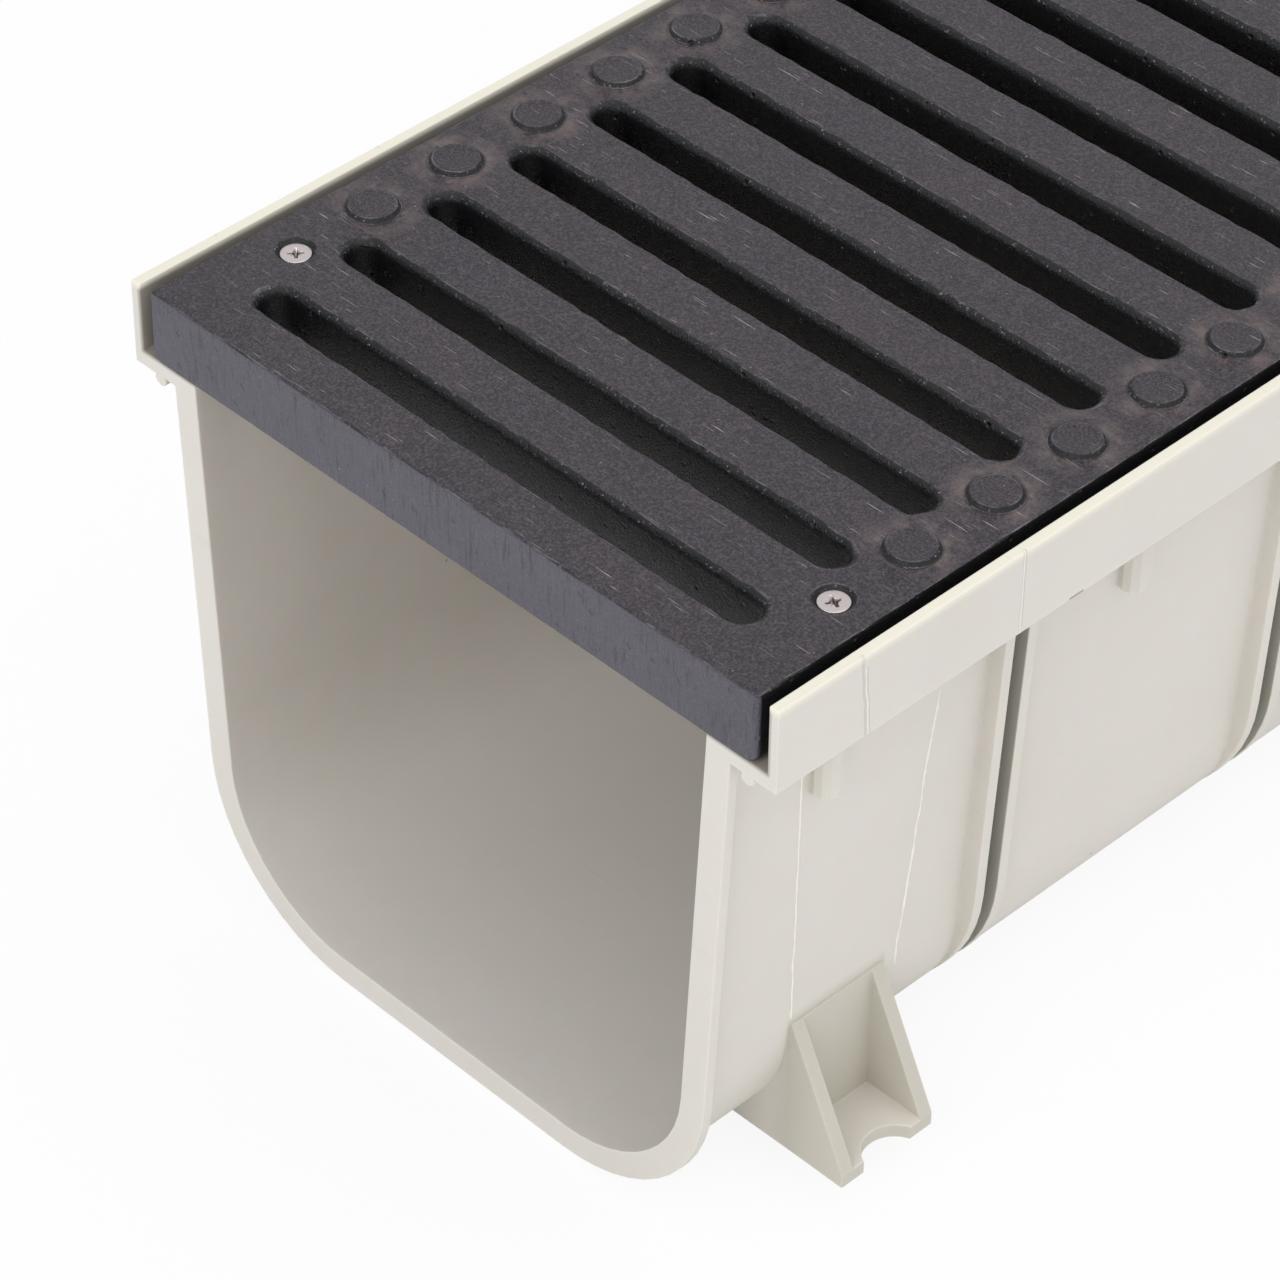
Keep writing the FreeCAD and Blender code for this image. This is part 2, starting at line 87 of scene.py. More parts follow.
# %% [markdown]
# ## Camera
# The view is from the right-hand side of the near end, looking down by about 41 degrees. A long
# lens far away keeps the drain's parallel edges nearly parallel. The channel runs out of the
# top right corner, as only its near half is in view, so the frame is moved with a small lens
# shift and the camera isn't turned.

# %% Camera
AZIMUTH, ELEVATION, ROLL = math.radians(46.81), math.radians(40.82), math.radians(-0.40)
camera_data = bpy.data.cameras.new("camera")
camera = bpy.data.objects.new("camera", camera_data)
bpy.context.scene.collection.objects.link(camera)
camera.location = (0.6817, -1.1133, 0.9230)
forward = Vector(
    (
        -math.sin(AZIMUTH) * math.cos(ELEVATION),
        math.cos(AZIMUTH) * math.cos(ELEVATION),
        -math.sin(ELEVATION),
    )
)
level_right = Vector((math.cos(AZIMUTH), math.sin(AZIMUTH), 0))
level_up = level_right.cross(forward)
right = level_right * math.cos(ROLL) + level_up * math.sin(ROLL)
up = level_up * math.cos(ROLL) - level_right * math.sin(ROLL)
camera.rotation_mode = "QUATERNION"
axes = [[right[i], up[i], -forward[i]] for i in range(3)]
camera.rotation_quaternion = Matrix(axes).to_quaternion()
camera_data.sensor_width = 36
camera_data.lens = 148.5
camera_data.shift_x, camera_data.shift_y = 0.0882, 0.0135
camera_data.clip_end = 50
bpy.context.scene.camera = camera
print("camera at", tuple(round(c, 3) for c in camera.location), "lens", camera_data.lens)

# %% [markdown]
# ## Light, floor and background
# Painted iron is told apart from plastic by what it mirrors, so the light is made of large soft
# sources: an even sky, three wide softboxes (overhead, at the right and in front), and the white
# floor, which lights the near faces from below. The sky is pure white for the camera alone (Light
# Path's Is Camera Ray), and the floor nearly so, which keeps the background white and the object
# from being over-lit. The floor still darkens a little where the object shades it.

# %% World
scene = bpy.context.scene
scene.view_settings.view_transform = "Standard"
world = bpy.data.worlds.new("white studio")
scene.world = world
world.use_nodes = True
sky = world.node_tree
sky.nodes.clear()
light_path = add(sky, "LightPath")
soft_sky = add(sky, "Background", {"Color": colour("#F4F6FA"), "Strength": 0.80})
white_sky = add(sky, "Background", {"Color": (1, 1, 1, 1), "Strength": 1.0})
sky_mix = add(
    sky, "MixShader", {0: light_path.outputs["Is Camera Ray"], 1: soft_sky, 2: white_sky}
)
add(sky, "OutputWorld", {"Surface": sky_mix})


# %% Softboxes
def softbox(name, place, aim, size, watts):
    """An area light of size metres, hung at place and turned to aim."""
    lamp = bpy.data.lights.new(name, "AREA")
    lamp.shape, lamp.size, lamp.size_y, lamp.energy = "RECTANGLE", size[0], size[1], watts
    stand = bpy.data.objects.new(name, lamp)
    scene.collection.objects.link(stand)
    stand.location = place
    stand.rotation_mode = "QUATERNION"
    stand.rotation_quaternion = (Vector(aim) - Vector(place)).to_track_quat("-Z", "Y")


softbox("softbox_overhead", (0.9, 0.1, 2.6), (0, 0, 0.1), (2.0, 2.0), 12)
softbox("softbox_side", (2.6, -0.3, 0.8), (0, -0.2, 0.1), (1.6, 1.2), 5)
softbox("softbox_front", (0.4, -2.2, 1.4), (0, -0.45, 0.08), (1.6, 1.0), 13)
print("three softboxes and an even sky")

# %% Floor
FLOOR_SIZE, FLOOR_LEVEL = 12.0, -0.2 * MM
corner_signs = ((-1, -1), (1, -1), (1, 1), (-1, 1))
floor_corners = [(x * FLOOR_SIZE / 2, y * FLOOR_SIZE / 2, FLOOR_LEVEL) for x, y in corner_signs]
floor_mesh = bpy.data.meshes.new("floor")
floor_mesh.from_pydata(floor_corners, [], [(0, 1, 2, 3)])
floor = bpy.data.objects.new("floor", floor_mesh)
scene.collection.objects.link(floor)
paper = bpy.data.materials.new("white paper floor")
paper.use_nodes = True
tree = paper.node_tree
tree.nodes.clear()
matte = add(tree, "BsdfDiffuse", {"Color": colour("#FAFAFA")})
white = add(tree, "Emission", {"Color": (1, 1, 1, 1), "Strength": 1.0})
seen = add(tree, "LightPath")
lift = add(tree, "Math", {0: seen.outputs["Is Camera Ray"], 1: 0.90}, operation="MULTIPLY")
paper_mix = add(tree, "MixShader", {0: lift, 1: matte, 2: white})
add(tree, "OutputMaterial", {"Surface": paper_mix})
floor_mesh.materials.append(paper)
print("floor", FLOOR_SIZE, "m wide")


# %% [markdown]
# ## The channel's plastic
# The channel is injection-moulded polypropylene, pale grey, with a satin skin. Moulded
# polyolefin isn't quite even: it has cloudy patches where it cooled, a very fine grain from the
# steel of the mould, and a few scuffs. It lets a little light in. The colour is built in layers:
# a base, clouds of 60 mm, a warmer and darker inside that is painted shade, a lighter bottom
# that is painted light, and the cream of the lip's top edge.
# Where a surface lies is read from its place in the frame, which stays right in every view.

# %% Moulded polypropylene: inside and outside
TROUGH_AXIS, INSIDE_TOP = 100.0, 164.0
plastic = bpy.data.materials.new("moulded polypropylene, pale grey")
plastic.use_nodes = True
tree = plastic.node_tree
tree.nodes.clear()
place = add(tree, "TexCoord").outputs["Object"]
surface = add(tree, "NewGeometry").outputs["Normal"]
split = add(tree, "SeparateXYZ", {0: place})

# Inward-facing surfaces: the normal points at the trough's middle line, 100 mm up.
from_axis = add(tree, "VectorMath", {0: place, 1: (0, 0, -TROUGH_AXIS * MM)}, operation="ADD")
flat_axis = add(tree, "VectorMath", {0: from_axis, 1: (1, 0, 1)}, operation="MULTIPLY")
facing = add(tree, "VectorMath", {0: flat_axis, 1: surface}, operation="DOT_PRODUCT")
inward = add(
    tree,
    "MapRange",
    {"Value": facing.outputs["Value"], "From Min": -0.012, "From Max": -0.035},
)
below_seat = add(
    tree,
    "MapRange",
    {"Value": split.outputs["Z"], "From Min": INSIDE_TOP * MM, "From Max": (INSIDE_TOP - 6) * MM},
)
inside = add(tree, "Math", {0: inward, 1: below_seat}, operation="MULTIPLY")
outside = add(tree, "Math", {0: 1.0, 1: inside}, operation="SUBTRACT")
print("plastic: inside below", INSIDE_TOP, "mm")

# %% [markdown]
# ## Cloudy plastic
# The resin cools unevenly and its filler drifts, which leaves clouds about 60 mm across and a
# finer mottling of 9 mm. Noise textures give both. The clouds choose between two near colours,
# one pair for the outside and a darker pair for the inside, which is painted shade.

# %% Moulded polypropylene: clouds
clouds = add(
    tree, "TexNoise", {"Vector": place, "Scale": 1 / (60 * MM), "Detail": 3.0, "Roughness": 0.5}
)
mottle = add(
    tree, "TexNoise", {"Vector": place, "Scale": 1 / (9 * MM), "Detail": 4.0, "Roughness": 0.6}
)
outer_colour = add(
    tree,
    "Mix",
    {0: clouds, 6: colour("#D6D0C6"), 7: colour("#DFDAD1")},
    data_type="RGBA",
)
# Painted shade: the inside's pair is darker because the trough is shaded inside.
shaded_inner_colour = add(
    tree,
    "Mix",
    {0: clouds, 6: colour("#CBC3B8"), 7: colour("#D6CFC5")},
    data_type="RGBA",
)
# The trough's bottom is lighter than its walls: painted light, where more light reaches it.
lit_bottom = add(
    tree, "MapRange", {"Value": split.outputs["Z"], "From Min": 62 * MM, "From Max": 20 * MM}
)
lit_bottom_colour = add(
    tree,
    "Mix",
    {0: lit_bottom, 6: shaded_inner_colour.outputs[2], 7: colour("#E2DCD3")},
    data_type="RGBA",
)
body_colour = add(
    tree,
    "Mix",
    {0: inside, 6: outer_colour.outputs[2], 7: lit_bottom_colour.outputs[2]},
    data_type="RGBA",
)
mottled = add(
    tree,
    "Mix",
    {0: 0.10, 6: body_colour.outputs[2], 7: mottle.outputs["Color"]},
    data_type="RGBA",
    blend_type="SOFT_LIGHT",
)
print("plastic: clouds of 60 mm and mottling of 9 mm")

# %% [markdown]
# ## Where the plastic is cream, shaded or dusty
# The lip's top edge is worn and bleached to cream. Painted shade darkens the lips' inner faces
# beside the grate and the narrow groove between the two ribs of a pair, and the feet have a
# greener, dustier tone from the ground. Each is a mask made from simple tests of place, multiplied
# together, because a mask that is worked out from the sizes can't slip as a painted one can.

# %% Moulded polypropylene: lip, recess and feet
LIP_TOP, SEAT, LIP_INNER = 182.0, 162.0, 104.0
END_REACH, FOOT_MIDDLE, FOOT_HALF = 500.0, 48.0, 16.35
on_top = add(
    tree,
    "MapRange",
    {
        "Value": split.outputs["Z"],
        "From Min": (LIP_TOP - 2.3) * MM,
        "From Max": (LIP_TOP - 0.2) * MM,
    },
)
edged = add(
    tree,
    "Mix",
    {0: on_top, 6: mottled.outputs[2], 7: colour("#F0EAD8")},
    data_type="RGBA",
)
off_middle = add(tree, "Math", {0: split.outputs["X"]}, operation="ABSOLUTE")
from_middle = add(tree, "Math", {0: split.outputs["Y"]}, operation="ABSOLUTE")
from_end = add(tree, "Math", {0: END_REACH * MM, 1: from_middle}, operation="SUBTRACT")
in_recess = add(
    tree,
    "MapRange",
    {"Value": off_middle, "From Min": (LIP_INNER + 0.5) * MM, "From Max": (LIP_INNER - 0.4) * MM},
)
over_seat = add(
    tree,
    "MapRange",
    {"Value": split.outputs["Z"], "From Min": (SEAT - 0.5) * MM, "From Max": (SEAT + 0.5) * MM},
)
under_lip = add(
    tree,
    "MapRange",
    {"Value": split.outputs["Z"], "From Min": (LIP_TOP - 0.8) * MM, "From Max": (LIP_TOP - 2) * MM},
)
beside = add(tree, "Math", {0: in_recess, 1: over_seat}, operation="MULTIPLY")
lip_recess_shade_mask = add(tree, "Math", {0: beside, 1: under_lip}, operation="MULTIPLY")
# Painted shade: the lips' inner faces above the seat are darkened, as the gap beside the grate is
# in shade.
lip_recess_shaded = add(
    tree,
    "Mix",
    {0: lip_recess_shade_mask, 6: edged.outputs[2], 7: colour("#A09A8F")},
    data_type="RGBA",
)
low_part = add(
    tree, "MapRange", {"Value": split.outputs["Z"], "From Min": 53.5 * MM, "From Max": 50 * MM}
)
out_part = add(tree, "MapRange", {"Value": off_middle, "From Min": 76 * MM, "From Max": 83 * MM})
past_foot = add(tree, "Math", {0: from_end, 1: FOOT_MIDDLE * MM}, operation="SUBTRACT")
off_foot = add(tree, "Math", {0: past_foot}, operation="ABSOLUTE")
near_foot = add(
    tree,
    "MapRange",
    {
        "Value": off_foot,
        "From Min": (FOOT_HALF + 0.65) * MM,
        "From Max": (FOOT_HALF - 0.65) * MM,
    },
)
low_out = add(tree, "Math", {0: low_part, 1: out_part}, operation="MULTIPLY")
foot_place = add(tree, "Math", {0: low_out, 1: near_foot}, operation="MULTIPLY")
foot_mask = add(tree, "Math", {0: foot_place, 1: outside}, operation="MULTIPLY")
footed = add(
    tree,
    "Mix",
    {0: foot_mask, 6: lip_recess_shaded.outputs[2], 7: colour("#C9C4B7")},
    data_type="RGBA",
)
print("plastic: feet", FOOT_MIDDLE, "mm from the ends, lips' tops at", LIP_TOP, "mm")

# %% Moulded polypropylene: grooves between ribs
FIRST_GROOVE, RIB_SPACING, GROOVE_HALF, LEDGE_UNDER = 96.0, 100.5, 2.35, 159.0
past_groove = add(tree, "Math", {0: from_end, 1: FIRST_GROOVE * MM}, operation="SUBTRACT")
in_pair = add(
    tree,
    "Math",
    {0: past_groove, 1: RIB_SPACING / 2 * MM, 2: -RIB_SPACING / 2 * MM},
    operation="WRAP",
)
off_groove = add(tree, "Math", {0: in_pair}, operation="ABSOLUTE")
at_groove = add(
    tree,
    "MapRange",
    {
        "Value": off_groove,
        "From Min": (GROOVE_HALF + 0.1) * MM,
        "From Max": (GROOVE_HALF - 0.1) * MM,
        "To Max": 0.85,
    },
)
under_ledge = add(tree, "Math", {0: split.outputs["Z"], 1: LEDGE_UNDER * MM}, operation="LESS_THAN")
groove_out = add(tree, "Math", {0: at_groove, 1: outside}, operation="MULTIPLY")
groove_shade_mask = add(tree, "Math", {0: groove_out, 1: under_ledge}, operation="MULTIPLY")
# Painted shade: the groove between the two ribs of a pair is darkened, as its walls are in shade.
groove_shaded = add(
    tree,
    "Mix",
    {0: groove_shade_mask, 6: footed.outputs[2], 7: colour("#8B897C")},
    data_type="RGBA",
)
print("plastic: grooves every", RIB_SPACING, "mm from", FIRST_GROOVE)

# %% [markdown]
# ## Scuffs and specks
# Handling leaves scuffs, and the resin has a few dark specks. The scuffs are noise stretched to
# 30 mm across the channel and a millimetre wide the other ways, so they are thin lines on the cut
# ends and small dull spots on the long walls. Both stay faint: a drain like this is nearly new.

# %% Moulded polypropylene: scuffs and specks
stretch = add(
    tree,
    "Mapping",
    {"Vector": place, "Rotation": (0.5, 0.3, 0.9), "Scale": (1, 34, 34)},
)
scuff = add(tree, "TexNoise", {"Vector": stretch, "Scale": 1 / (30 * MM), "Detail": 2.0})
scuff_mask = add(
    tree, "MapRange", {"Value": scuff, "From Min": 0.72, "From Max": 0.78, "To Max": 0.22}
)
scuffed = add(
    tree,
    "Mix",
    {0: scuff_mask, 6: groove_shaded.outputs[2], 7: colour("#B9B1A3")},
    data_type="RGBA",
)
# Dark specks in the resin, a millimetre or so across and only a few on each wall.
specks = add(tree, "TexVoronoi", {"Vector": place, "Scale": 1 / (34 * MM)})
speck_mask = add(
    tree,
    "MapRange",
    {"Value": specks.outputs["Distance"], "From Min": 0.024, "From Max": 0.016, "To Max": 0.6},
)
specked = add(
    tree,
    "Mix",
    {0: speck_mask, 6: scuffed.outputs[2], 7: colour("#6E655C")},
    data_type="RGBA",
)
print("plastic: scuffs and specks")

# %% [markdown]
# ## Seams on the lips
# The mould has loose inserts, and a little plastic crept between them: two thin upright lines on
# each lip near each end. The outer one stands 27 mm from the end, leans a little, and starts
# 3.5 mm below the lip's top. The other stands 77 mm from the end and runs the lip's whole height.
# They are only a few tenths of a millimetre high, so a bump gives their step, and a lighter
# line of colour is a painted highlight on them.

# %% Moulded polypropylene: lip seams
SEAM_AT_TOP, SEAM_AT_FOOT, SECOND_SEAM = 26.8, 28.6, 77.3
seam_wander = add(tree, "TexNoise", {"Vector": place, "Scale": 1 / (5 * MM), "Detail": 3.0})
wander = add(
    tree, "MapRange", {"Value": seam_wander, "To Min": -0.7 * MM, "To Max": 0.7 * MM}
)
lean = add(
    tree,
    "MapRange",
    {
        "Value": split.outputs["Z"],
        "From Min": 180 * MM,
        "From Max": 158 * MM,
        "To Min": SEAM_AT_TOP * MM,
        "To Max": SEAM_AT_FOOT * MM,
    },
)
first_seam = add(tree, "Math", {0: lean, 1: wander}, operation="ADD")
first_gap = add(tree, "Math", {0: from_end, 1: first_seam}, operation="SUBTRACT")
second_gap = add(tree, "Math", {0: from_end, 1: SECOND_SEAM * MM}, operation="SUBTRACT")
first_off = add(tree, "Math", {0: first_gap}, operation="ABSOLUTE")
second_off = add(tree, "Math", {0: second_gap}, operation="ABSOLUTE")
nearest_seam = add(tree, "Math", {0: first_off, 1: second_off}, operation="MINIMUM")
seam_line = add(
    tree, "MapRange", {"Value": nearest_seam, "From Min": 0.55 * MM, "From Max": 0.15 * MM}
)
seam_shade = add(
    tree, "MapRange", {"Value": first_gap, "From Min": -0.4 * MM, "From Max": -1.2 * MM}
)
on_lip = add(tree, "Math", {0: off_middle, 1: 105.5 * MM}, operation="GREATER_THAN")
below_top = add(
    tree, "Math", {0: split.outputs["Z"], 1: (LIP_TOP - 3.5) * MM}, operation="LESS_THAN"
)
further_in = add(tree, "Math", {0: from_end, 1: 50 * MM}, operation="GREATER_THAN")
seam_reach = add(tree, "Math", {0: below_top, 1: further_in}, operation="MAXIMUM")
seam_place = add(tree, "Math", {0: on_lip, 1: seam_reach}, operation="MULTIPLY")
seam = add(tree, "Math", {0: seam_line, 1: seam_place}, operation="MULTIPLY")
seam_height = add(tree, "Math", {0: seam, 1: seam_shade}, operation="ADD")
# Painted highlight: the seam line is lightened where its ridge catches the light.
seam_highlight_tint = add(tree, "Math", {0: seam, 1: 0.7}, operation="MULTIPLY")
seam_highlighted = add(
    tree,
    "Mix",
    {0: seam_highlight_tint, 6: specked.outputs[2], 7: colour("#F7F2E6")},
    data_type="RGBA",
)
print("plastic: lip seams", SEAM_AT_TOP, "and", SECOND_SEAM, "mm from the ends")

# %% [markdown]
# ## The plastic's skin
# A satin grain on the steel mould is copied onto the plastic. The real grain is finer than a
# tenth of a millimetre, and 0.6 mm is the finest that shows. Waves of 22 mm are where the wall
# sank a little as it cooled. A little subsurface light softens the thin edges.

# %% Moulded polypropylene: skin
gloss = add(tree, "MapRange", {"Value": mottle, "To Min": 0.40, "To Max": 0.54})
grain = add(tree, "TexNoise", {"Vector": place, "Scale": 1 / (0.6 * MM), "Detail": 2.0})
waves = add(tree, "TexNoise", {"Vector": place, "Scale": 1 / (22 * MM), "Detail": 2.0})
grain_bump = add(tree, "Bump", {"Strength": 0.06, "Distance": 0.3 * MM, "Height": grain})
wave_bump = add(
    tree, "Bump", {"Strength": 0.25, "Distance": 1.2 * MM, "Height": waves, "Normal": grain_bump}
)
lip_height = add(tree, "Math", {0: seam_height, 1: on_lip}, operation="MULTIPLY")
seam_bump = add(
    tree,
    "Bump",
    {"Strength": 0.9, "Distance": 0.4 * MM, "Height": lip_height, "Normal": wave_bump},
)
plastic_shader = add(
    tree,
    "BsdfPrincipled",
    {
        "Base Color": seam_highlighted.outputs[2],
        "Roughness": gloss,
        "IOR": 1.49,
        "Normal": seam_bump,
        "Subsurface Weight": 0.2,
        "Subsurface Radius": (3.0 * MM, 2.6 * MM, 2.2 * MM),
        "Subsurface Scale": 1.0,
    },
)
add(tree, "OutputMaterial", {"Surface": plastic_shader})
print("plastic:", len(tree.nodes), "nodes")

# %% [markdown]
# ## The channel
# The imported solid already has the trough, the ledge, the lips, the ribs, the bosses and the
# feet, so its own mesh is shown. A moulding never has a knife edge, though. The modifiers weld
# the triangles together and round every sharp edge by 0.3 mm, and those thin rounds catch the
# light along the cut end and the ribs.

# %% Channel
channel.data.materials.clear()
channel.data.materials.append(plastic)
weld = channel.modifiers.new("weld", "WELD")
weld.merge_threshold = 0.01 * MM
rounding = channel.modifiers.new("rounded edges", "BEVEL")
rounding.width = 0.3 * MM
rounding.segments = 2
rounding.limit_method = "ANGLE"
rounding.angle_limit = math.radians(38)
rounding.use_clamp_overlap = False
shading = channel.modifiers.new("even shading", "WEIGHTED_NORMAL")
shading.keep_sharp = True
print("channel:", len(channel.data.polygons), "triangles before rounding")


# %% [markdown]
# ## Seams on the walls
# Below each lip the same insert seams run on down the wall towards the foot, as thin fins of
# plastic about 0.4 mm high. They follow the wall, so each is laid on it by ray casting: a ray goes
# in from the side at each step, and the fin's triangular section is put where it hits.

# %% Polypropylene flash
flash = bpy.data.materials.new("polypropylene flash, cream with painted highlight")
flash.use_nodes = True
tree = flash.node_tree
tree.nodes.clear()
place = add(tree, "TexCoord").outputs["Object"]
thickness = add(tree, "TexNoise", {"Vector": place, "Scale": 1 / (3 * MM), "Detail": 2.0})
# The fin is pale cream, lighter than the wall partly as a painted highlight on its ridge.
flash_colour_and_highlight = add(
    tree, "Mix", {0: thickness, 6: colour("#EFE9DC"), 7: colour("#FFFBEE")}, data_type="RGBA"
)
flash_bump = add(tree, "Bump", {"Strength": 0.3, "Distance": 0.2 * MM, "Height": thickness})
flash_shader = add(
    tree,
    "BsdfPrincipled",
    {"Base Color": flash_colour_and_highlight.outputs[2], "Roughness": 0.45, "IOR": 1.49, "Normal": flash_bump},
)
add(tree, "OutputMaterial", {"Surface": flash_shader})
print("flash:", len(tree.nodes), "nodes")

# %% Wall seams
# Distance from the channel's end (mm) at the seam's top and at its foot, and the foot's level.
WALL_SEAMS = {"outer": (27.9, 32.5, 52.0), "inner": (75.6, 68.0, 46.0)}
SEAM_TOP, SEAM_STEPS, SEAM_HALF_WIDTH, SEAM_HEIGHT = 157.5, 70, 0.40, 0.42
OUTSIDE_WALL = 0.2
wall_tree = BVHTree.FromPolygons(
    [v.co for v in channel.data.vertices], [p.vertices for p in channel.data.polygons]
)


def wall_seam(name, end, side, at_top, at_foot, foot_level):
    """A fin on the wall: end is -1 for the near end, side is 1 for the right-hand wall."""
    bm = bmesh.new()
    sections = []
    for i in range(SEAM_STEPS + 1):
        t = i / SEAM_STEPS
        z = SEAM_TOP + (foot_level - SEAM_TOP) * t
        drift = noise.noise(Vector((z * 0.12, end * 7.0, side * 3.0 + at_top))) * 0.5
        y = end * (END_REACH - (at_top + (at_foot - at_top) * t + drift))
        start = Vector((side * OUTSIDE_WALL, y * MM, z * MM))
        hit, out, _, _ = wall_tree.ray_cast(start, Vector((-side, 0, 0)))
        fullness = 0.75 + 0.5 * noise.noise(Vector((z * 0.45, at_top, side * 5.0)))
        half = Vector((0, SEAM_HALF_WIDTH * MM * fullness, 0))
        root = hit - out * 0.1 * MM
        crest = hit + out * SEAM_HEIGHT * MM * fullness
        sections.append([bm.verts.new(p) for p in (root - half, crest, root + half)])
    wall(bm, sections)
    bm.faces.new(sections[0])
    bm.faces.new(sections[-1])
    piece = finished(name, bm, flash)
    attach(piece, "root")


# %% [markdown]
# ## The slotted grate
# Each grate is one casting, 499.5 by 200 by 19.5 mm. Across it run 18 slots, 9 mm wide at the
# throat. Their upper edges are rolled over by 1.7 mm so that the pattern could be drawn from the
# sand. Round studs between the slots' ends give wheels and shoes a grip, and four countersunk
# holes take the screws. The lower long edges are rounded by 3 mm, where the grate drops into
# the channel. Sizes are the real one's, in millimetres, from the middle of the grate's underside.
# They come before the paint because its dust and wear follow the studs and the end faces.

# %% Sizes of the grate
LENGTH, WIDTH, THICKNESS, CORNER, LOWER_ROUND = 499.5, 200.0, 19.5, 1.3, 3.0
PITCH = 27.1
SLOT_COUNT, SLOT_START, SLOT_REACH, SLOT_RADIUS = 18, 230.35, 76.3, 4.5
STUD_COUNT, STUD_START, ROW_REACH, SCREW_STATION = 15, 189.7, 88.2, 214.25
# Outer wall, from the top down to the lower round: level, how far out, and roughness of the edge.
OUTER_WALL = ((19.5, -0.62, 0.34), (19.28, -0.22, 0.16), (18.8, -0.05, 0.05), (17.5, 0.0, 0.0),
              (11.0, 0.0, 0.0), (3.0, 0.0, 0.0))
# Slot wall, from the top down: level, and how far it stands outside the throat.
SLOT_WALL = ((19.5, 1.75), (19.32, 1.38), (18.95, 0.92), (18.35, 0.45), (17.6, 0.14), (16.5, 0.0),
             (12.5, 0.03), (8.0, 0.07), (4.0, 0.12), (0.6, 0.16), (0.0, 0.60))
# Stud, from the foot up: height above the plate, and radius.
STUD_WALL = ((0.0, 7.15), (0.12, 6.75), (0.5, 6.42), (0.92, 6.2), (1.14, 5.85), (1.19, 5.4),
             (1.08, 4.7), (0.96, 3.6), (0.93, 1.8))
# Countersunk hole, from the top down: level, and radius.
SCREW_HOLE = ((19.5, 5.35), (19.42, 5.1), (19.2, 4.8), (17.0, 2.5), (8.0, 2.5), (0.0, 2.5))
print("slots:", SLOT_COUNT, "studs:", 2 * STUD_COUNT, "screw holes: 4")

# %% [markdown]
# ## The grate's paint
# The grates are grey cast iron, dipped in black bitumen-based paint. Sand casting leaves a skin
# like orange peel with small pits, and the moulding sand was raked upwards as the pattern came
# out, so the upright faces have short vertical marks. The paint is semi-gloss and mirrors the
# white floor faintly. The end faces get a lighter, bluer paint as painted light, the other upright
# faces a near-black one as painted shade, and the top is a touch purple. It has chipped on the
# arrises, where bare iron shows as bright flecks.

# %% Painted cast iron: paint and skin
iron = bpy.data.materials.new("cast iron, black bitumen paint")
iron.use_nodes = True
tree = iron.node_tree
tree.nodes.clear()
place = add(tree, "TexCoord").outputs["Object"]
surface = add(tree, "NewGeometry").outputs["Normal"]
split = add(tree, "SeparateXYZ", {0: place})
normal_split = add(tree, "SeparateXYZ", {0: surface})
upward = add(
    tree, "MapRange", {"Value": normal_split.outputs["Z"], "From Min": 0.75, "From Max": 0.97}
)

# Paint: top brown-black, upright faces in a lit and a shaded copy, with patches of 25 mm.
patches = add(tree, "TexNoise", {"Vector": place, "Scale": 1 / (25 * MM), "Detail": 4.0})
top_paint = add(
    tree,
    "Mix",
    {0: patches, 6: colour("#19181F"), 7: colour("#332A2F")},
    data_type="RGBA",
)
lit_end_paint = add(
    tree,
    "Mix",
    {0: patches, 6: colour("#403E47"), 7: colour("#4E4C57")},
    data_type="RGBA",
)
# The two end faces get a lighter blue-grey as painted light, and slot walls and long sides a
# near-black as painted shade.
off_end = add(tree, "Math", {0: split.outputs["Y"]}, operation="ABSOLUTE")
end_face = add(tree, "Math", {0: off_end, 1: (LENGTH / 2 - 1.25) * MM}, operation="GREATER_THAN")
upright_paint_lit_and_shaded = add(
    tree,
    "Mix",
    {0: end_face, 6: colour("#0D0D10"), 7: lit_end_paint.outputs[2]},
    data_type="RGBA",
)
paint = add(
    tree,
    "Mix",
    {0: upward, 6: upright_paint_lit_and_shaded.outputs[2], 7: top_paint.outputs[2]},
    data_type="RGBA",
)
# Cast skin: grains of 0.6 mm, drawn a little coarser than sand so that they show.
skin = add(
    tree, "TexNoise", {"Vector": place, "Scale": 1 / (0.6 * MM), "Detail": 2.0, "Roughness": 0.7}
)
rubbed = add(tree, "Math", {0: upward, 1: end_face}, operation="MAXIMUM")
skin_light = add(
    tree, "MapRange", {"Value": skin, "From Min": 0.42, "From Max": 0.74, "To Max": 0.58}
)
skin_tone = add(tree, "Math", {0: skin_light, 1: rubbed}, operation="MULTIPLY")
grained = add(
    tree,
    "Mix",
    {0: skin_tone, 6: paint.outputs[2], 7: colour("#746A70")},
    data_type="RGBA",
)
print("painted iron: patches of 25 mm and grains of 0.6 mm")

# %% [markdown]
# ## Dust round the studs
# Rain leaves dust in the corner round each stud, and painted shade darkens the crease at its
# foot. The studs stand in two rows at an even spacing, so the distance to the nearest one comes
# from the place across the row and the place along it, wrapped at the spacing. One small formula
# does for all thirty studs.

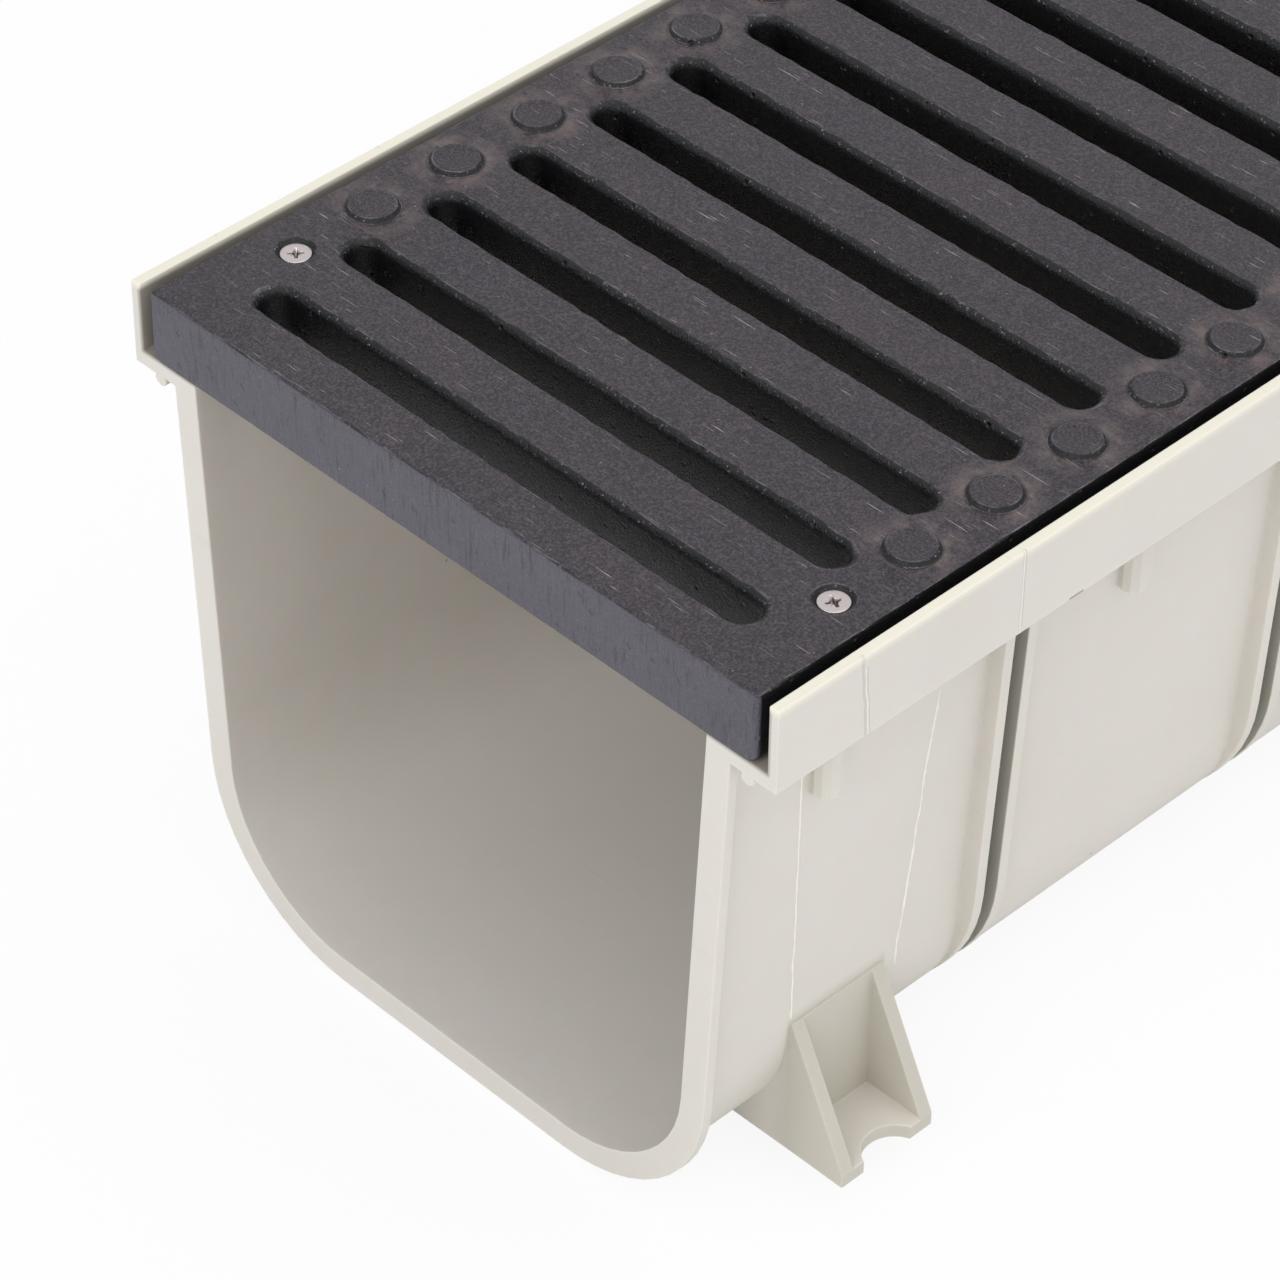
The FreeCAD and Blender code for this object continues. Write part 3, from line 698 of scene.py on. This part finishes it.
# %% Painted cast iron: dust round the studs
off_row = add(tree, "Math", {0: split.outputs["X"]}, operation="ABSOLUTE")
across_row = add(tree, "Math", {0: off_row, 1: ROW_REACH * MM}, operation="SUBTRACT")
from_stud = add(tree, "Math", {0: split.outputs["Y"], 1: STUD_START * MM}, operation="SUBTRACT")
along_row = add(
    tree, "Math", {0: from_stud, 1: PITCH / 2 * MM, 2: -PITCH / 2 * MM}, operation="WRAP"
)
stud_place = add(tree, "CombineXYZ", {0: across_row, 1: along_row})
stud_distance = add(tree, "VectorMath", {0: stud_place}, operation="LENGTH").outputs["Value"]
dust_fade = add(
    tree, "MapRange", {"Value": stud_distance, "From Min": 13.5 * MM, "From Max": 7 * MM}
)
dust_clouds = add(
    tree, "TexNoise", {"Vector": place, "Scale": 1 / (6 * MM), "Detail": 6.0, "Roughness": 0.7}
)
dust_amount = add(
    tree, "MapRange", {"Value": dust_clouds, "From Min": 0.40, "From Max": 0.66, "To Max": 0.85}
)
in_row = add(tree, "Math", {0: off_end, 1: (STUD_START + 7.8) * MM}, operation="LESS_THAN")
off_stud = add(tree, "Math", {0: stud_distance, 1: 6.6 * MM}, operation="GREATER_THAN")
beside_stud = add(tree, "Math", {0: in_row, 1: off_stud}, operation="MULTIPLY")
dust_place = add(tree, "Math", {0: dust_fade, 1: beside_stud}, operation="MULTIPLY")
dust_mask = add(tree, "Math", {0: dust_place, 1: dust_amount}, operation="MULTIPLY")
dust_on_top = add(tree, "Math", {0: dust_mask, 1: upward}, operation="MULTIPLY")
dusty = add(
    tree,
    "Mix",
    {0: dust_on_top, 6: grained.outputs[2], 7: colour("#7C6C67")},
    data_type="RGBA",
)
# Painted shade: the dark line in the crease at the stud's foot, 1 mm wide.
foot_in = add(
    tree, "MapRange", {"Value": stud_distance, "From Min": 5.9 * MM, "From Max": 6.4 * MM}
)
foot_out = add(
    tree, "MapRange", {"Value": stud_distance, "From Min": 7.5 * MM, "From Max": 6.8 * MM}
)
foot_ring = add(tree, "Math", {0: foot_in, 1: foot_out}, operation="MULTIPLY")
foot_line = add(tree, "Math", {0: foot_ring, 1: in_row}, operation="MULTIPLY")
stud_foot_shade = add(tree, "Math", {0: foot_line, 1: 0.85}, operation="MULTIPLY")
stud_foot_shaded = add(
    tree,
    "Mix",
    {0: stud_foot_shade, 6: dusty.outputs[2], 7: colour("#0B0B0D")},
    data_type="RGBA",
)
print("painted iron: dust to 13.5 mm round each stud")

# %% [markdown]
# ## Worn edges, with painted shade and highlight
# Where the flat top turns down into a slot, the turn is darkened as painted shade. Just where the
# turn starts, a lighter line is a painted highlight, with paint rubbed thin by shoes and wheels,
# and the turn itself is chipped. How much a surface faces up tells all three apart, so no edge
# has to be picked by hand.

# %% Painted cast iron: arrises
# Chips on rounded arrises: bare iron shows where the surface turns and the noise is high.
turning = add(
    tree,
    "MapRange",
    {"Value": normal_split.outputs["Z"], "From Min": 0.25, "From Max": 0.45},
)
not_flat = add(
    tree,
    "MapRange",
    {"Value": normal_split.outputs["Z"], "From Min": 0.97, "From Max": 0.90},
)
arris = add(tree, "Math", {0: turning, 1: not_flat}, operation="MULTIPLY")
chip_noise = add(
    tree, "TexNoise", {"Vector": place, "Scale": 1 / (0.9 * MM), "Detail": 4.0, "Roughness": 0.7}
)
chip_shape = add(
    tree, "MapRange", {"Value": chip_noise, "From Min": 0.60, "From Max": 0.70, "To Max": 0.8}
)
# Painted shade: the turn is darkened for the dark that it mirrors.
arris_shade = add(tree, "Math", {0: arris, 1: 0.85}, operation="MULTIPLY")
arris_shaded = add(
    tree,
    "Mix",
    {0: arris_shade, 6: stud_foot_shaded.outputs[2], 7: colour("#0A0A0C")},
    data_type="RGBA",
)
# Painted highlight, with paint rubbed thin by shoes and wheels, just where the flat top starts
# to turn down.
rim_in = add(
    tree, "MapRange", {"Value": normal_split.outputs["Z"], "From Min": 0.80, "From Max": 0.90}
)
rim_out = add(
    tree, "MapRange", {"Value": normal_split.outputs["Z"], "From Min": 0.992, "From Max": 0.975}
)
rim = add(tree, "Math", {0: rim_in, 1: rim_out}, operation="MULTIPLY")
rim_noise = add(
    tree, "TexNoise", {"Vector": place, "Scale": 1 / (9 * MM), "Detail": 5.0, "Roughness": 0.7}
)
rim_highlight_amount = add(
    tree, "MapRange", {"Value": rim_noise, "From Min": 0.45, "From Max": 0.65, "To Max": 0.65}
)
rim_highlight_mask = add(tree, "Math", {0: rim, 1: rim_highlight_amount}, operation="MULTIPLY")
rim_highlighted = add(
    tree,
    "Mix",
    {0: rim_highlight_mask, 6: arris_shaded.outputs[2], 7: colour("#837C82")},
    data_type="RGBA",
)
chips = add(tree, "Math", {0: arris, 1: chip_shape}, operation="MULTIPLY")
chipped = add(
    tree,
    "Mix",
    {0: chips, 6: rim_highlighted.outputs[2], 7: colour("#9A9499")},
    data_type="RGBA",
)
print("painted iron: arrises worn")

# %% [markdown]
# ## Scratches and grit
# Scratches run along the bars, as shoes and wheels cross the drain: marks 11 mm long, slightly
# bent and 0.3 mm wide, denser in some patches. They are stretched noise with a high threshold.
# A Mapping node stretches first and turns second, so each set's turn doesn't change the marks'
# direction and only gives it other noise. Grit is a Voronoi texture's cell centres.

# %% Painted cast iron: scratches and grit
scratch_masks = []
for turn, squeeze in ((0.5, 34), (-1.1, 40), (1.9, 30)):
    along = add(
        tree,
        "Mapping",
        {"Vector": place, "Rotation": (0, 0, turn), "Scale": (1.0, squeeze, 1.0)},
    )
    lines = add(
        tree,
        "TexNoise",
        {"Vector": along, "Scale": 1 / (11 * MM), "Detail": 1.5, "Distortion": 0.25},
    )
    scratch_masks.append(
        add(tree, "MapRange", {"Value": lines, "From Min": 0.735, "From Max": 0.785})
    )
two_sets = add(tree, "Math", {0: scratch_masks[0], 1: scratch_masks[1]}, operation="MAXIMUM")
all_sets = add(tree, "Math", {0: two_sets, 1: scratch_masks[2]}, operation="MAXIMUM")
clusters = add(
    tree, "MapRange", {"Value": patches, "From Min": 0.45, "From Max": 0.58, "To Min": 0.35}
)
clustered = add(tree, "Math", {0: all_sets, 1: clusters}, operation="MULTIPLY")
flat_scratches = add(tree, "Math", {0: clustered, 1: upward}, operation="MULTIPLY")
scratched = add(
    tree,
    "Mix",
    {0: flat_scratches, 6: chipped.outputs[2], 7: colour("#BDB6B8")},
    data_type="RGBA",
)
# Grit: pale and a few orange specks, 0.4 mm across, about one in five square centimetres.
grit = add(tree, "TexVoronoi", {"Vector": place, "Scale": 1 / (6.2 * MM)})
grit_mask = add(
    tree,
    "MapRange",
    {"Value": grit.outputs["Distance"], "From Min": 0.042, "From Max": 0.022, "To Max": 0.6},
)
grit_pick = add(tree, "SeparateXYZ", {0: grit.outputs["Color"]})
is_orange = add(tree, "Math", {0: grit_pick.outputs[0], 1: 0.93}, operation="GREATER_THAN")
grit_colour = add(
    tree,
    "Mix",
    {0: is_orange, 6: colour("#A8A2A4"), 7: colour("#8A4A3A")},
    data_type="RGBA",
)
gritty = add(
    tree,
    "Mix",
    {0: grit_mask, 6: scratched.outputs[2], 7: grit_colour.outputs[2]},
    data_type="RGBA",
)
print("painted iron:", len(scratch_masks), "sets of scratches")

# %% [markdown]
# ## What the sand left
# The sand mould leaves rake marks on the end faces, about 1.2 mm wide and 10 mm high, and shallow
# pits. Paint fills them in part, so they are bumps and not geometry: four Bump nodes in a chain,
# from the finest (the grain) to the widest (a swell of 12 mm in the flat faces).

# %% Painted cast iron: rake marks, pits and gloss
raked = add(tree, "Mapping", {"Vector": place, "Scale": (1, 1, 0.12)})
rake = add(
    tree, "TexNoise", {"Vector": raked, "Scale": 1 / (1.2 * MM), "Detail": 3.0, "Roughness": 0.6}
)
not_top = add(tree, "Math", {0: 1.0, 1: upward}, operation="SUBTRACT")
upright = add(tree, "Math", {0: not_top, 1: end_face}, operation="MULTIPLY")
rake_height = add(tree, "Math", {0: rake, 1: upright}, operation="MULTIPLY")
rake_dark = add(
    tree, "MapRange", {"Value": rake, "From Min": 0.56, "From Max": 0.68, "To Max": 0.55}
)
rake_mask = add(tree, "Math", {0: rake_dark, 1: upright}, operation="MULTIPLY")
raked_colour = add(
    tree,
    "Mix",
    {0: rake_mask, 6: gritty.outputs[2], 7: colour("#26242B")},
    data_type="RGBA",
)
# Pits: shallow craters up to 1.6 mm across, about one in every square centimetre.
pits = add(tree, "TexVoronoi", {"Vector": place, "Scale": 1 / (5.2 * MM)})
pit_height = add(
    tree, "MapRange", {"Value": pits.outputs["Distance"], "From Min": 0.04, "From Max": 0.16}
)
swell = add(tree, "TexNoise", {"Vector": place, "Scale": 1 / (12 * MM), "Detail": 2.0})
skin_bump = add(tree, "Bump", {"Strength": 0.6, "Distance": 0.5 * MM, "Height": skin})
rake_bump = add(
    tree,
    "Bump",
    {"Strength": 0.45, "Distance": 0.7 * MM, "Height": rake_height, "Normal": skin_bump},
)
pit_bump = add(
    tree,
    "Bump",
    {"Strength": 0.8, "Distance": 0.6 * MM, "Height": pit_height, "Normal": rake_bump},
)
swell_bump = add(
    tree, "Bump", {"Strength": 0.4, "Distance": 1.0 * MM, "Height": swell, "Normal": pit_bump}
)
iron_gloss = add(
    tree,
    "MapRange",
    {"Value": skin, "From Min": 0.3, "From Max": 0.7, "To Min": 0.30, "To Max": 0.52},
)
iron_shader = add(
    tree,
    "BsdfPrincipled",
    {
        "Base Color": raked_colour.outputs[2],
        "Roughness": iron_gloss,
        "IOR": 1.5,
        "Specular IOR Level": 0.45,
        "Normal": swell_bump,
    },
)
add(tree, "OutputMaterial", {"Surface": iron_shader})
print("painted iron:", len(tree.nodes), "nodes")


# %% [markdown]
# ## A way to build cast shapes
# The grate is a thick plate with many holes. It could be cut with Boolean modifiers, but these
# leave untidy meshes and sharp edges. Here every wall is a stack of rings instead: one ring for
# each level, each pushed in or out by a little, and joined to the next. Flat faces are then
# filled between the rings. A ring's points are nudged by smooth noise, so that the edges waver
# by a tenth of a millimetre or two, as they do on a casting.

# %% Rings
def wavering(x, y, level, amount):
    """Smooth noise with bumps of about 3 mm, from -amount to amount."""
    return noise.noise(Vector((x * 0.31, y * 0.31, level * 0.17))) * amount * 1.6


def ring(bm, outline, level, out=0.0, rough=0.0, ends=0.0):
    """One ring of vertices. Points are (x, y, normal x, normal y, end share), in mm."""
    made = []
    for x, y, nx, ny, end in outline:
        push = out + ends * end + wavering(x + nx, y + ny, level, rough)
        made.append(bm.verts.new(((x + nx * push) * MM, (y + ny * push) * MM, level * MM)))
    return made


def wall(bm, rings):
    """Joins each ring to the next, and returns the first and last ones' edges."""
    for upper, lower in zip(rings, rings[1:]):
        for i in range(len(upper)):
            j = (i + 1) % len(upper)
            bm.faces.new((upper[i], upper[j], lower[j], lower[i]))
    return [
        [bm.edges.get((loop[i], loop[(i + 1) % len(loop)])) for i in range(len(loop))]
        for loop in (rings[0], rings[-1])
    ]


def circle(x, y, radius, count):
    """Outline of a round hole or stud, in mm, with its normals pointing away from the middle."""
    turns = [2 * math.pi * i / count for i in range(count)]
    return [
        (x + radius * math.cos(t), y + radius * math.sin(t), math.cos(t), math.sin(t), 0.0)
        for t in turns
    ]


def stadium(y, reach, radius, arc_count=14, straight_count=44):
    """Outline of a round-ended slot along X, with the share of each point that is its end."""
    points = []
    for side in (1, -1):
        for i in range(arc_count + 1):
            t = side * (math.pi * i / arc_count - math.pi / 2)
            nx, ny = side * math.cos(t), math.sin(t)
            points.append((side * reach + radius * nx, y + radius * ny, nx, ny, abs(nx)))
        for i in range(1, straight_count):
            x = side * reach * (1 - 2 * i / straight_count)
            points.append((x, y + side * radius, 0, side, 0.0))
    return points


def plate(half_x, half_y, radius, step=4.0, corner_count=5):
    """Outline of a rectangle with small rounded corners."""
    points = []
    corners = ((1, -1, -90), (1, 1, 0), (-1, 1, 90), (-1, -1, 180))
    for number, (sx, sy, start) in enumerate(corners):
        cx, cy = sx * (half_x - radius), sy * (half_y - radius)
        for i in range(corner_count + 1):
            t = math.radians(start + 90 * i / corner_count)
            nx, ny = math.cos(t), math.sin(t)
            points.append((cx + radius * nx, cy + radius * ny, nx, ny, 0.0))
        length = 2 * (half_y if number % 2 == 0 else half_x) - 2 * radius
        x, y, nx, ny, _ = points[-1]
        count = round(length / step)
        for i in range(1, count):
            shift = length * i / count
            points.append((x - ny * shift, y + nx * shift, nx, ny, 0.0))
    return points


print("rings and outlines ready")


# %% [markdown]
# ## Finishing a mesh
# A mesh from rings is one closed skin. Its normals are turned outwards, edges that turn by more
# than 40 degrees are kept crisp, and the rest are shaded smooth. The Weighted Normal modifier
# then lets the big flat faces decide the shading, so that a narrow rounded edge looks round and
# the plate beside it looks flat.

# %% Mesh to piece
def finished(name, bm, material, crisp=40):
    """A piece from a bmesh; edges that turn by more than crisp degrees stay sharp."""
    bmesh.ops.recalc_face_normals(bm, faces=bm.faces)
    for face in bm.faces:
        face.smooth = True
    for edge in bm.edges:
        if edge.is_manifold and edge.calc_face_angle() > math.radians(crisp):
            edge.smooth = False
    mesh = bpy.data.meshes.new(name)
    bm.to_mesh(mesh)
    bm.free()
    mesh.materials.append(material)
    piece = bpy.data.objects.new(name, mesh)
    scene.collection.objects.link(piece)
    weighting = piece.modifiers.new("even shading", "WEIGHTED_NORMAL")
    weighting.keep_sharp = True
    return piece


print("pieces keep edges over 40 degrees crisp")


# %% Grate mesh
def narrowed(x, inset):
    """X of an outline point when the long sides move in by inset; the ends shrink to match."""
    if abs(x) > WIDTH / 2 - 2:
        return x - math.copysign(inset, x)
    return x * (WIDTH / 2 - inset - CORNER) / (WIDTH / 2 - CORNER)


def cast_grate(name, seed):
    """The grate around its own middle; seed moves the noise so that the two castings differ."""
    bm = bmesh.new()
    top_edges, bottom_edges = [], []

    # Outer wall: a chipped upper arris, plain sides, and long lower edges rounded by 3 mm.
    outer = plate(WIDTH / 2, LENGTH / 2, CORNER)
    shifted = [(x, y + seed, nx, ny, e) for x, y, nx, ny, e in outer]
    rings = [
        ring(bm, shifted, level, out - rough * 0.2, rough) for level, out, rough in OUTER_WALL
    ]
    for angle in (18, 36, 54, 72):
        inset = LOWER_ROUND * (1 - math.cos(math.radians(angle)))
        level = LOWER_ROUND * (1 - math.sin(math.radians(angle)))
        rings.append(ring(bm, [(narrowed(x, inset), *rest) for x, *rest in shifted], level))
    inset = LOWER_ROUND * (1 - math.cos(math.radians(88)))
    rings.append(ring(bm, [(narrowed(x, inset), *rest) for x, *rest in shifted], 0.0, -0.2))
    for made in rings:
        for vert in made:
            vert.co.y -= seed * MM
    upper, lower = wall(bm, rings)
    top_edges += upper
    bottom_edges += lower

    # Slots: wider at their ends near the top, and rougher there than down in the throat.
    for number in range(SLOT_COUNT):
        outline = stadium(SLOT_START - number * PITCH, SLOT_REACH, SLOT_RADIUS)
        shifted = [(x, y + seed, nx, ny, e) for x, y, nx, ny, e in outline]
        rings = []
        for level, out in SLOT_WALL:
            flare = 0.55 if level > 19 else 0.0
            rough = 0.30 if level > 17.6 else 0.14
            made = ring(bm, shifted, level, out, rough, flare)
            for vert in made:
                vert.co.y -= seed * MM
            rings.append(made)
        upper, lower = wall(bm, rings)
        top_edges += upper
        bottom_edges += lower

    # Studs and screw holes, row by row.
    for side in (1, -1):
        for number in range(STUD_COUNT):
            y = STUD_START - number * PITCH
            rings = [
                ring(bm, circle(side * ROW_REACH, y, radius, 36), THICKNESS + height, 0, 0.06)
                for height, radius in STUD_WALL
            ]
            upper, inner = wall(bm, rings)
            top_edges += upper
            bmesh.ops.contextual_create(bm, geom=inner)
        for end in (1, -1):
            rings = [
                ring(bm, circle(side * ROW_REACH, end * SCREW_STATION, radius, 40), level)
                for level, radius in SCREW_HOLE
            ]
            upper, lower = wall(bm, rings)
            top_edges += upper
            bottom_edges += lower

    bmesh.ops.triangle_fill(bm, use_beauty=True, edges=top_edges, normal=(0, 0, 1))
    bmesh.ops.triangle_fill(bm, use_beauty=True, edges=bottom_edges, normal=(0, 0, -1))
    return finished(name, bm, iron)


print("grate mesh:", SLOT_COUNT, "slots of", len(SLOT_WALL), "rings")

# %% Wall seams in place
for end, end_name in ((-1, "near"), (1, "far")):
    for side, side_name in ((1, "right"), (-1, "left")):
        for seam_name, (at_top, at_foot, foot_level) in WALL_SEAMS.items():
            name = f"wall_seam_{end_name}_{side_name}_{seam_name}"
            wall_seam(name, end, side, at_top, at_foot, foot_level)
print("eight wall seams")

# %% Two grates in place
for end, seed in (("front", 0.0), ("rear", 731.0)):
    node = "grate_" + end
    low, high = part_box(node)
    grate = cast_grate(node + "_casting", seed)
    grate.location = ((low.x + high.x) / 2, (low.y + high.y) / 2, low.z)
    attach(grate, "root")
    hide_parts(node)
    print(grate.name, len(grate.data.polygons), "faces, middle at y", round(grate.location.y, 4))


# %% [markdown]
# ## The screws' steel
# The screws are stainless steel, cold-headed and tumbled, so the heads are bright but not
# mirror-like: tumbling leaves a fine, even haze. Steel has no colour of its own beyond a warm
# grey, and in a white studio it is nearly white, with dark lines only in the recess.

# %% Stainless steel
steel = bpy.data.materials.new("stainless steel, tumbled")
steel.use_nodes = True
tree = steel.node_tree
tree.nodes.clear()
place = add(tree, "TexCoord").outputs["Object"]
haze = add(
    tree, "TexNoise", {"Vector": place, "Scale": 1 / (0.7 * MM), "Detail": 3.0, "Roughness": 0.6}
)
steel_tone = add(
    tree, "Mix", {0: haze, 6: colour("#CFC3BF"), 7: colour("#EDE4E1")}, data_type="RGBA"
)
# Painted shade in the recess: it starts just under the head's face, within 2.4 mm of the middle.
split = add(tree, "SeparateXYZ", {0: place})
flat_place = add(tree, "VectorMath", {0: place, 1: (1, 1, 0)}, operation="MULTIPLY")
off_axis = add(tree, "VectorMath", {0: flat_place}, operation="LENGTH").outputs["Value"]
near_middle = add(tree, "Math", {0: off_axis, 1: 2.4 * MM}, operation="LESS_THAN")
sunk = add(
    tree,
    "MapRange",
    {"Value": split.outputs["Z"], "From Min": -0.1 * MM, "From Max": -1.0 * MM, "To Max": 0.70},
)
screw_recess_shade_mask = add(tree, "Math", {0: near_middle, 1: sunk}, operation="MULTIPLY")
screw_recess_shaded = add(
    tree,
    "Mix",
    {0: screw_recess_shade_mask, 6: steel_tone.outputs[2], 7: colour("#5A504B")},
    data_type="RGBA",
)
steel_gloss = add(tree, "MapRange", {"Value": haze, "To Min": 0.26, "To Max": 0.44})
steel_bump = add(tree, "Bump", {"Strength": 0.12, "Distance": 0.1 * MM, "Height": haze})
steel_shader = add(
    tree,
    "BsdfPrincipled",
    {
        "Base Color": screw_recess_shaded.outputs[2],
        "Metallic": 1.0,
        "Roughness": steel_gloss,
        "Normal": steel_bump,
    },
)
add(tree, "OutputMaterial", {"Surface": steel_shader})
print("steel:", len(tree.nodes), "nodes")

# %% [markdown]
# ## The screws
# Each is a flat-headed screw with a cross recess, 7.8 mm across the head and 50 mm long. The
# head is turned as rings like the grate's walls. The recess is a cross-shaped ring that shrinks
# as it goes down, which gives the four sloping wings a driver needs. The thread is drawn as
# plain grooves, because nothing of it shows once the screw is in its boss.

# %% Screw mesh
HEAD_RADIUS, SHANK_RADIUS, ROOT_RADIUS, SCREW_LENGTH, THREAD_PITCH = 3.9, 2.1, 1.55, 50.0, 1.6
# A quarter of the recess's outline, and its size at each height below the head's face.
RECESS_CORNERS = ((2.05, -0.40), (2.15, 0.0), (2.05, 0.40), (1.0, 0.52), (0.74, 0.74), (0.52, 1.0))
RECESS_WALL = ((1.06, 0.0), (1.0, -0.07), (0.84, -0.7), (0.62, -1.35), (0.3, -1.75))


def cross(size):
    """The recess's outline around the middle, in mm; normals point away from the middle."""
    points = []
    for quarter in range(4):
        turn = quarter * math.pi / 2
        for x, y in RECESS_CORNERS:
            px = (x * math.cos(turn) - y * math.sin(turn)) * size
            py = (x * math.sin(turn) + y * math.cos(turn)) * size
            reach = math.hypot(px, py)
            points.append((px, py, px / reach, py / reach, 0.0))
    return points


def cross_head_screw():
    """The screw with its head's face at the origin, pointing down."""
    bm = bmesh.new()
    turned = [(3.55, 0.0), (3.76, -0.05), (3.88, -0.16), (HEAD_RADIUS, -0.3), (SHANK_RADIUS, -2.1)]
    level = -4.0
    while level > -SCREW_LENGTH + 5:
        turned += [(SHANK_RADIUS, level), (ROOT_RADIUS, level - THREAD_PITCH / 2)]
        level -= THREAD_PITCH
    turned += [(1.4, -SCREW_LENGTH + 4), (0.2, -SCREW_LENGTH)]
    rings = [ring(bm, circle(0, 0, radius, 40), height) for radius, height in turned]
    top, tip = wall(bm, rings)
    bmesh.ops.contextual_create(bm, geom=tip)
    recess = [ring(bm, cross(size), height) for size, height in RECESS_WALL]
    edge, base = wall(bm, recess)
    bmesh.ops.contextual_create(bm, geom=base)
    bmesh.ops.triangle_fill(bm, use_beauty=True, edges=top + edge, normal=(0, 0, 1))
    return bm


print("screw:", SCREW_LENGTH, "mm long,", 2 * HEAD_RADIUS, "mm across the head")

# %% Eight screws in place
# No two screws stop at the same angle, in degrees, in the order of their names.
SCREW_TURNS = (21, 74, 51, 68, 33, 80, 12, 57)
screw_names = sorted(name for name in nodes if name.startswith("screw_"))
for number, name in enumerate(screw_names):
    low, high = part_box(name)
    screw = finished("steel_" + name, cross_head_screw(), steel, crisp=50)
    screw.location = ((low.x + high.x) / 2, (low.y + high.y) / 2, high.z)
    screw.rotation_euler = (0, 0, math.radians(SCREW_TURNS[number]))
    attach(screw, "root")
    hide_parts(name)
print(len(screw_names), "screws")
